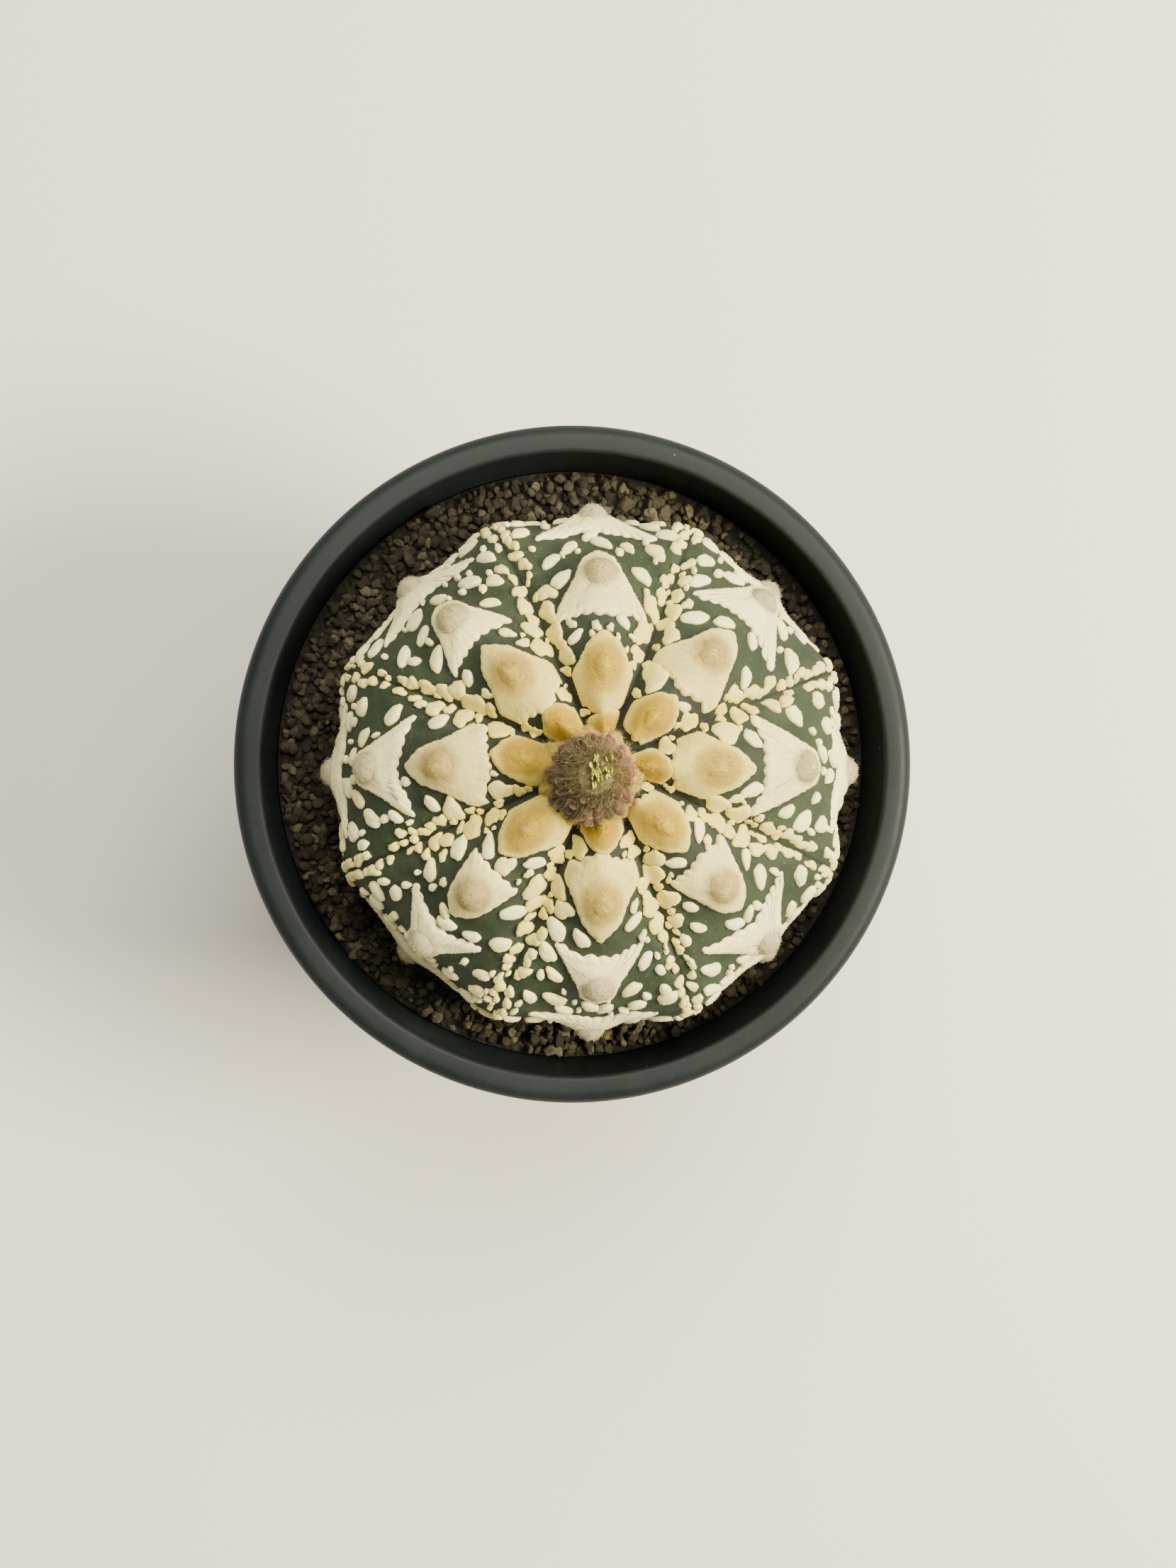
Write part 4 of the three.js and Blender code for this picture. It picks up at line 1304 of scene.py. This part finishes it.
class NodeTree:
    """A short way to add and join shader nodes."""

    def __init__(self, tree: bpy.types.NodeTree) -> None:
        """Work on one node tree."""
        self.tree = tree

    def add(self, kind: str, **inputs: object) -> bpy.types.Node:
        """Add a node.

        Args:
            kind: Blender's name for the node, after ShaderNode.
            inputs: A number, a colour or another node's socket for each named input; capital letters
                start it, and an underscore stands for a space. A name in lower case is a setting.

        Returns:
            The new node.
        """
        node = self.tree.nodes.new("ShaderNode" + kind)
        for name, value in inputs.items():
            if name[0].islower():
                setattr(node, name, value)
        self.feed_all(node, {name: value for name, value in inputs.items() if not name[0].islower()})
        return node

    def feed_all(self, node: bpy.types.Node, inputs: dict[str, object]) -> None:
        """Feed a node's named inputs, where an underscore stands for a space."""
        for name, value in inputs.items():
            self.feed(node.inputs[name.replace("_", " ")], value)

    def feed(self, socket: Socket, value: object) -> None:
        """Set a socket to a value, or join another socket to it."""
        if isinstance(value, Socket):
            self.tree.links.new(value, socket)
        elif isinstance(value, tuple) and len(value) == 3 and socket.type == "RGBA":
            socket.default_value = (*value, 1.0)
        else:
            socket.default_value = value

    def attribute(self, name: str) -> Socket:
        """Read a named value from the mesh."""
        return self.add("Attribute", attribute_name=name).outputs["Fac"]

    def noise(self, scale: float, detail: float = 4.0, rough: float = 0.55) -> Socket:
        """Cloudy noise with about `scale` humps a metre."""
        place = self.add("TexCoord").outputs["Object"]
        return self.add("TexNoise", Vector=place, Scale=scale, Detail=detail, Roughness=rough).outputs["Fac"]

    def cells(self, scale: float) -> Socket:
        """Distance to the middle of the nearest of scattered cells, about `scale` of them a metre."""
        place = self.add("TexCoord").outputs["Object"]
        return self.add("TexVoronoi", Vector=place, Scale=scale).outputs["Distance"]

    def ramp(self, value: Socket, low: float, high: float) -> Socket:
        """Stretch the part of a value from `low` to `high` to 0 to 1."""
        limits = {"From_Min": low, "From_Max": high}
        return self.add("MapRange", interpolation_type="SMOOTHSTEP", Value=value, **limits).outputs["Result"]

    def clouds(self, scale: float, detail: float, low: float, high: float, rough: float = 0.55) -> Socket:
        """Cloudy noise, stretched from `low` to `high`."""
        return self.ramp(self.noise(scale, detail, rough), low, high)

    def maths(self, operation: str, a: object, b: object) -> Socket:
        """Combine two values."""
        node = self.add("Math", operation=operation)
        self.feed(node.inputs[0], a)
        self.feed(node.inputs[1], b)
        return node.outputs[0]

    def times(self, a: object, b: object) -> Socket:
        """Multiply two values."""
        return self.maths("MULTIPLY", a, b)

    def ragged(self, value: Socket, noise: Socket, middle: float, strength: float = 1.0) -> Socket:
        """Add noise to a value, up and down from the noise's middle."""
        cloud = self.maths("SUBTRACT", noise, middle)
        return self.maths("ADD", value, cloud if strength == 1 else self.times(cloud, strength))

    def blend(self, share: object, start: object, end: object) -> Socket:
        """Blend two colours."""
        node = self.add("Mix", data_type="RGBA")
        self.feed(node.inputs["Factor"], share)
        self.feed(node.inputs[6], start)
        self.feed(node.inputs[7], end)
        return node.outputs[2]

    def tint(self, colour: Socket, over: object, mask: Socket, strength: float) -> Socket:
        """Lay a second colour over the first where a mask is high, up to a strength."""
        return self.blend(self.times(mask, strength), colour, over)

    def bump(self, height: Socket, depth: float, strength: float, **under: Socket) -> Socket:
        """Turn a height from 0 to 1 into a bumped normal, `depth` millimetres deep."""
        node = self.add("Bump", Height=height, Strength=strength, Distance=depth * MM, **under)
        return node.outputs["Normal"]


class Look(NodeTree):
    """A material in the making, with a principled shader."""

    def __init__(self, slot: Slot | None, name: str = "") -> None:
        """Start a material, named after its slot unless it has a name of its own."""
        self.slot = slot
        self.material = bpy.data.materials.new(name or slot.value)
        self.material.use_nodes = True
        super().__init__(self.material.node_tree)

    def finish(self, colour: Socket, **inputs: object) -> Coat:
        """Feed the shader's colour and its other named inputs, and give the coat."""
        self.feed_all(self.tree.nodes["Principled BSDF"], {"Base_Color": colour, **inputs})
        return Coat(self.slot, self.material)


@dataclass(frozen=True)
class SkinFinish:
    """Green skin: matt and finely grained, grey by the felt, corky at the foot, with painted shade down the
    furrows and a darker crown that is partly painted shade.
    """

    light: Colour = (0.038, 0.055, 0.031)
    dark: Colour = (0.025, 0.037, 0.021)
    halo: Colour = (0.033, 0.034, 0.03)
    # Partly the young skin's tone, partly painted shade between the crowded young patches.
    crown: Colour = (0.023, 0.029, 0.022)
    # Near black: painted shade in the furrows' crease.
    furrow: Colour = (0.009, 0.009, 0.009)
    cork: Colour = (0.2, 0.135, 0.08)
    speck: Colour = (0.13, 0.17, 0.1)
    roughness: float = 0.68

    def build(self) -> Coat:
        """Make the material."""
        look = Look(Slot.SKIN)
        grain = look.noise(2600, 3)
        colour = look.blend(look.clouds(140, 5, 0.3, 0.7), self.dark, self.light)
        colour = look.tint(colour, self.dark, look.ramp(grain, 0.5, 0.8), 0.35)
        colour = look.tint(colour, self.speck, look.ramp(look.cells(900), 0.16, 0.07), 0.45)
        halo = look.ramp(look.ragged(look.attribute("halo"), look.noise(700, 4), 0.5), 0.1, 0.9)
        colour = look.tint(colour, self.halo, halo, 0.8)
        # Darker crown: partly the young skin's tone, partly painted shade.
        crown = look.times(look.attribute("crown"), look.clouds(320, 4, 0.2, 0.6))
        colour = look.tint(colour, self.crown, crown, 0.9)
        scab = look.ragged(look.attribute("cork"), look.noise(420, 6), 0.55)
        colour = look.blend(look.ramp(scab, 0.25, 0.75), colour, self.cork)
        # Painted shade down the furrows.
        colour = look.tint(colour, self.furrow, look.attribute("furrow"), 0.8)
        broad = look.bump(look.noise(420, 5), 0.35, 0.6)
        return look.finish(
            colour,
            Normal=look.bump(grain, 0.09, 0.8, Normal=broad),
            Roughness=self.roughness,
            Specular_IOR_Level=0.18,
            Subsurface_Weight=0.08,
            Subsurface_Radius=(0.4, 0.9, 0.25),
            Subsurface_Scale=0.0012,
        )


@dataclass(frozen=True)
class FeltColours:
    """The colours of young and old felt, and their lighter tone near the rims, which is painted highlight."""

    plain: tuple[Colour, Colour] = ((0.6, 0.48, 0.088), (0.9, 0.85, 0.46))
    # Painted highlight: felt drawn lighter towards its rims.
    edge_highlight: tuple[Colour, Colour] = ((0.9, 0.795, 0.18), (0.99, 0.96, 0.56))
    dull: tuple[Colour, Colour] = ((0.44, 0.33, 0.06), (0.6, 0.54, 0.29))
    stain: tuple[Colour, Colour] = ((0.36, 0.222, 0.001), (0.37, 0.33, 0.215))
    shade: tuple[Colour, Colour] = ((0.36, 0.23, 0.04), (0.44, 0.39, 0.2))


class FeltTone:
    """The shared colour and relief of felt and wool, as one node group."""

    def __init__(self, colours: FeltColours) -> None:
        """Build the group once."""
        self.group = bpy.data.node_groups.new("felt_tone", "ShaderNodeTree")
        for name in ("Age", "Stain", "Edge"):
            self.group.interface.new_socket(name, in_out="INPUT", socket_type="NodeSocketFloat")
        self.group.interface.new_socket("Colour", in_out="OUTPUT", socket_type="NodeSocketColor")
        self.group.interface.new_socket("Height", in_out="OUTPUT", socket_type="NodeSocketFloat")
        tree = NodeTree(self.group)
        given = self.group.nodes.new("NodeGroupInput").outputs
        plain, edge_highlight, dull, stain, shade = (
            tree.blend(given["Age"], *pair)
            for pair in (colours.plain, colours.edge_highlight, colours.dull, colours.stain, colours.shade)
        )
        colour = tree.tint(plain, dull, tree.clouds(450, 5, 0.42, 0.7, 0.6), 0.26)
        # Painted highlight: lighter felt towards the rims.
        colour = tree.tint(colour, edge_highlight, given["Edge"], 0.8)
        patchy = tree.ragged(given["Stain"], tree.noise(600, 5), 0.5, 0.6)
        colour = tree.tint(colour, stain, tree.ramp(patchy, 0.0, 1.1), 0.92)
        fibres = tree.noise(2400, 6, 0.7)
        colour = tree.tint(colour, shade, tree.ramp(fibres, 0.62, 0.32), 0.34)
        height = tree.maths("ADD", tree.times(fibres, 0.5), tree.times(tree.noise(900, 4), 0.5))
        out = self.group.nodes.new("NodeGroupOutput").inputs
        tree.feed(out["Colour"], colour)
        tree.feed(out["Height"], height)

    def dress(self, look: Look, stain: Socket, edge: object, relief: float, sheen: float) -> Coat:
        """Finish a material with the felt's tone and a soft sheen.

        Args:
            look: The material.
            stain: How tan it is, from 0 to 1.
            edge: How near the rim it is, from 0 to 1, which lays on the painted highlight.
            relief: Depth of its relief in millimetres.
            sheen: Weight of its sheen.

        Returns:
            The coat.
        """
        age = look.attribute("age")
        tone = look.add("Group", node_tree=self.group, Age=age, Stain=stain, Edge=edge).outputs
        return look.finish(
            tone["Colour"],
            Normal=look.bump(tone["Height"], relief, 0.8),
            Roughness=0.95,
            Specular_IOR_Level=0.1,
            Sheen_Weight=sheen,
            Sheen_Roughness=0.6,
            Sheen_Tint=(1.0, 0.92, 0.7),
            Subsurface_Weight=0.12,
            Subsurface_Radius=(1.0, 0.8, 0.55),
            Subsurface_Scale=0.0006,
        )


@dataclass(frozen=True)
class FeltFinish:
    """Matted felt: cream by the crown, chalky further out, tan round the wool."""

    tone: FeltTone
    relief: float = 0.28
    sheen: float = 0.12

    def build(self) -> Coat:
        """Make the material."""
        look = Look(Slot.FELT)
        stain, edge = look.attribute("stain"), look.attribute("edge")
        return self.tone.dress(look, stain, edge, self.relief, self.sheen)


@dataclass(frozen=True)
class WoolFinish:
    """Denser wool: ochre when young, tan with a pale middle when old."""

    tone: FeltTone
    relief: float = 0.2
    sheen: float = 0.05

    def build(self) -> Coat:
        """Make the material."""
        look = Look(Slot.WOOL)
        ring = look.times(look.ramp(look.attribute("reach"), 0.1, 0.6), 0.4)
        return self.tone.dress(look, look.maths("ADD", ring, 0.68), 0.0, self.relief, self.sheen)


@dataclass(frozen=True)
class BudFinish:
    """Bud scales: olive at the root, dark brown at the tip and pink on one side; the hairs are paler, with
    painted shade on their south-west side and painted light on their north-east side.
    """

    root: Colour = (0.23, 0.185, 0.075)
    tip: Colour = (0.036, 0.021, 0.0145)
    pink: Colour = (0.46, 0.17, 0.11)
    streak: Colour = (0.14, 0.1, 0.05)
    fuzz: Colour = (0.34, 0.26, 0.18)
    roughness: float = 0.6

    def build(self) -> Coat:
        """Make the material."""
        look = Look(Slot.SCALE)
        tip = look.blend(look.times(look.attribute("pink"), 0.9), self.tip, self.pink)
        tip = look.tint(tip, self.streak, look.clouds(1500, 4, 0.3, 0.7), 0.35)
        # On the hairs the tip and fuzz values also carry painted shade on the south-west side and painted
        # light on the north-east.
        colour = look.blend(look.attribute("tip"), self.root, tip)
        colour = look.blend(look.attribute("fuzz"), colour, self.fuzz)
        relief = look.bump(look.noise(3000, 4), 0.08, 0.7)
        return look.finish(colour, Normal=relief, Roughness=self.roughness)


@dataclass(frozen=True)
class PetalFinish:
    """Petal tips: yellow green above, olive below, which is partly their greener base and partly painted
    shade down in the bud's mouth.
    """

    # Partly the petals' own greener base, partly painted shade deep in the mouth.
    root: Colour = (0.18, 0.17, 0.05)
    tip: Colour = (0.58, 0.61, 0.1)
    streak: Colour = (0.3, 0.32, 0.06)
    roughness: float = 0.5

    def build(self) -> Coat:
        """Make the material."""
        look = Look(Slot.PETAL)
        share = look.maths("ADD", look.times(look.attribute("pink"), 0.5), 0.5)
        colour = look.blend(look.times(look.attribute("tip"), share), self.root, self.tip)
        streaks = look.clouds(2200, 3, 0.35, 0.75)
        return look.finish(
            look.tint(colour, self.streak, streaks, 0.3),
            Normal=look.bump(streaks, 0.05, 0.6),
            Roughness=self.roughness,
            Subsurface_Weight=0.2,
            Subsurface_Radius=(0.8, 1.0, 0.3),
            Subsurface_Scale=0.0005,
        )


@dataclass(frozen=True)
class GrainFinish:
    """Dark brown grit, with a lighter or ochre grain here and there."""

    dark: Colour = (0.017, 0.014, 0.009)
    middle: Colour = (0.052, 0.044, 0.026)
    light: Colour = (0.115, 0.097, 0.058)
    ochre: Colour = (0.42, 0.28, 0.08)
    roughness: float = 0.85

    def build(self) -> Coat:
        """Make the material."""
        look = Look(Slot.GRIT)
        tint = look.attribute("tint")
        colour = look.blend(look.ramp(tint, 0.0, 0.75), self.dark, self.middle)
        colour = look.blend(look.ramp(tint, 0.78, 0.98), colour, self.light)
        colour = look.blend(look.ramp(look.attribute("shade"), 0.9965, 0.9975), colour, self.ochre)
        colour = look.tint(colour, self.dark, look.clouds(1300, 6, 0.35, 0.7), 0.45)
        relief = look.bump(look.noise(1700, 6, 0.65), 0.35, 0.9)
        return look.finish(colour, Normal=relief, Roughness=self.roughness, Specular_IOR_Level=0.3)


@dataclass(frozen=True)
class BedFinish:
    """The dark crumbs between and under the grains."""

    dark: Colour = (0.006, 0.005, 0.003)
    light: Colour = (0.02, 0.017, 0.01)
    roughness: float = 0.95

    def build(self) -> Coat:
        """Make the material."""
        look = Look(Slot.GRIT, "soil_bed")
        crumbs = look.cells(900)
        colour = look.blend(look.ramp(crumbs, 0.1, 0.6), self.light, self.dark)
        return look.finish(colour, Normal=look.bump(crumbs, 0.5, 0.9), Roughness=self.roughness)


@dataclass(frozen=True)
class PotFinish:
    """Slate grey moulded plastic: satin, finely scuffed, with dust."""

    base: Colour = (0.0088, 0.0122, 0.0145)
    worn: Colour = (0.0175, 0.023, 0.027)
    dust: Colour = (0.4, 0.39, 0.36)
    roughness: float = 0.48
    roughness_spread: float = 0.14

    def build(self) -> Coat:
        """Make the material."""
        look = Look(Slot.POT)
        clouds = look.clouds(90, 6, 0.35, 0.75, 0.65)
        colour = look.tint(self.base, self.worn, clouds, 0.45)
        colour = look.tint(colour, self.worn, look.clouds(1200, 8, 0.5, 0.78, 0.75), 0.35)
        specks = look.times(look.ramp(look.cells(260), 0.055, 0.03), look.clouds(60, 3, 0.5, 0.6))
        grain = look.bump(look.noise(3800, 3), 0.035, 0.6)
        return look.finish(
            look.blend(specks, colour, self.dust),
            Normal=look.bump(look.noise(160, 3), 0.12, 0.35, Normal=grain),
            Roughness=look.maths("ADD", look.times(clouds, self.roughness_spread), self.roughness),
            Specular_IOR_Level=0.2,
        )


@dataclass(frozen=True)
class FloorFinish:
    """A plain pale floor."""

    colour: Colour = (0.74, 0.73, 0.7)
    cloud: Colour = (0.6, 0.59, 0.57)
    roughness: float = 0.8

    def build(self) -> Coat:
        """Make the material."""
        look = Look(None, "floor")
        colour = look.tint(self.colour, self.cloud, look.noise(6, 3), 0.06)
        return look.finish(colour, Roughness=self.roughness)


@dataclass(frozen=True)
class SoftBox:
    """A square soft light that faces the plant: its place and side in metres, power and colour."""

    name: str
    place: Triple
    size: float
    power: float
    colour: Colour


@dataclass
class Studio:
    """The floor, the soft lights and the camera that looks down on the plant.

    The lights are warm and soft, one from the right of the view and a wider one from its top.
    """

    eye: Triple = (-21.0, 0.0, 488.0)
    aim: Triple = (2.06, -3.15, 88.0)
    pixels_per_mm: float = 8.73
    photo_height: int = 2212
    sensor: float = 36.0
    floor_half: float = 6000.0
    lit_height: float = 90.0
    lights: tuple = (
        SoftBox("key", (0.64, -0.04, 0.72), 0.36, 24.0, (1.0, 0.9, 0.66)),
        SoftBox("top", (0.1, 0.46, 0.95), 0.7, 18.0, (1.0, 0.93, 0.76)),
    )
    room: Colour = (1.0, 0.96, 0.88)
    room_strength: float = 0.32

    def build_floor(self, coat: Coat) -> None:
        """Lay the floor."""
        half = self.floor_half * MM
        mesh = bpy.data.meshes.new("floor")
        corners = [(-half, -half, 0), (half, -half, 0), (half, half, 0), (-half, half, 0)]
        mesh.from_pydata(corners, [], [(0, 1, 2, 3)])
        mesh.materials.append(coat.material)
        link_object("floor", mesh)

    def build_lights(self) -> None:
        """Hang the lights and set the pale room."""
        for box in self.lights:
            data = bpy.data.lights.new(box.name, "AREA")
            data.size = box.size
            data.energy = box.power
            data.color = box.colour
            light = link_object(box.name, data)
            light.location = box.place
            towards = Vector((0, 0, self.lit_height * MM)) - Vector(box.place)
            light.rotation_euler = towards.to_track_quat("-Z", "Y").to_euler()
        world = bpy.data.worlds.new("pale_room")
        world.use_nodes = True
        background = world.node_tree.nodes["Background"]
        background.inputs["Color"].default_value = (*self.room, 1.0)
        background.inputs["Strength"].default_value = self.room_strength
        bpy.context.scene.world = world

    def build_camera(self) -> None:
        """Place the camera so that the rim plane has the photograph's scale."""
        eye, aim = Vector(self.eye), Vector(self.aim)
        forward = aim - eye
        far = forward.length
        forward.normalize()
        right = forward.cross(Vector((0, 1, 0))).normalized()
        data = bpy.data.cameras.new("camera")
        data.sensor_fit = "VERTICAL"
        data.sensor_height = self.sensor
        data.lens = self.sensor * self.pixels_per_mm * far / self.photo_height
        data.clip_start = 0.01
        camera = link_object("camera", data)
        turn = Matrix((right, right.cross(forward), -forward)).transposed().to_4x4()
        camera.matrix_world = Matrix.Translation(eye * MM) @ turn
        bpy.context.scene.camera = camera


def main() -> None:
    """Build the plant, the grit, the pot and the studio."""
    logging.basicConfig(level=logging.INFO, format="%(name)s: %(message)s")
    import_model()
    body, pot = BodyForm(), PotForm()
    tone = FeltTone(FeltColours())
    felt, wool = FeltFinish(tone).build(), WoolFinish(tone).build()
    CactusSkin(body).build(SkinFinish().build())
    FeltPatches(body).build(felt)
    FeltFlecks(body).build(felt)
    AreoleWool(body).build(wool)
    bud, scales = FlowerBud(body), BudFinish().build()
    bud.build_core(scales)
    bud.build_scales(scales)
    bud.build_hairs(scales)
    bud.build_collar(wool)
    bud.build_petals(PetalFinish().build())
    Grit(pot, body).build(GrainFinish().build(), BedFinish().build())
    Pot(pot).build(PotFinish().build())
    studio = Studio()
    studio.build_floor(FloorFinish().build())
    studio.build_lights()
    studio.build_camera()


if __name__ == "__main__":
    main()
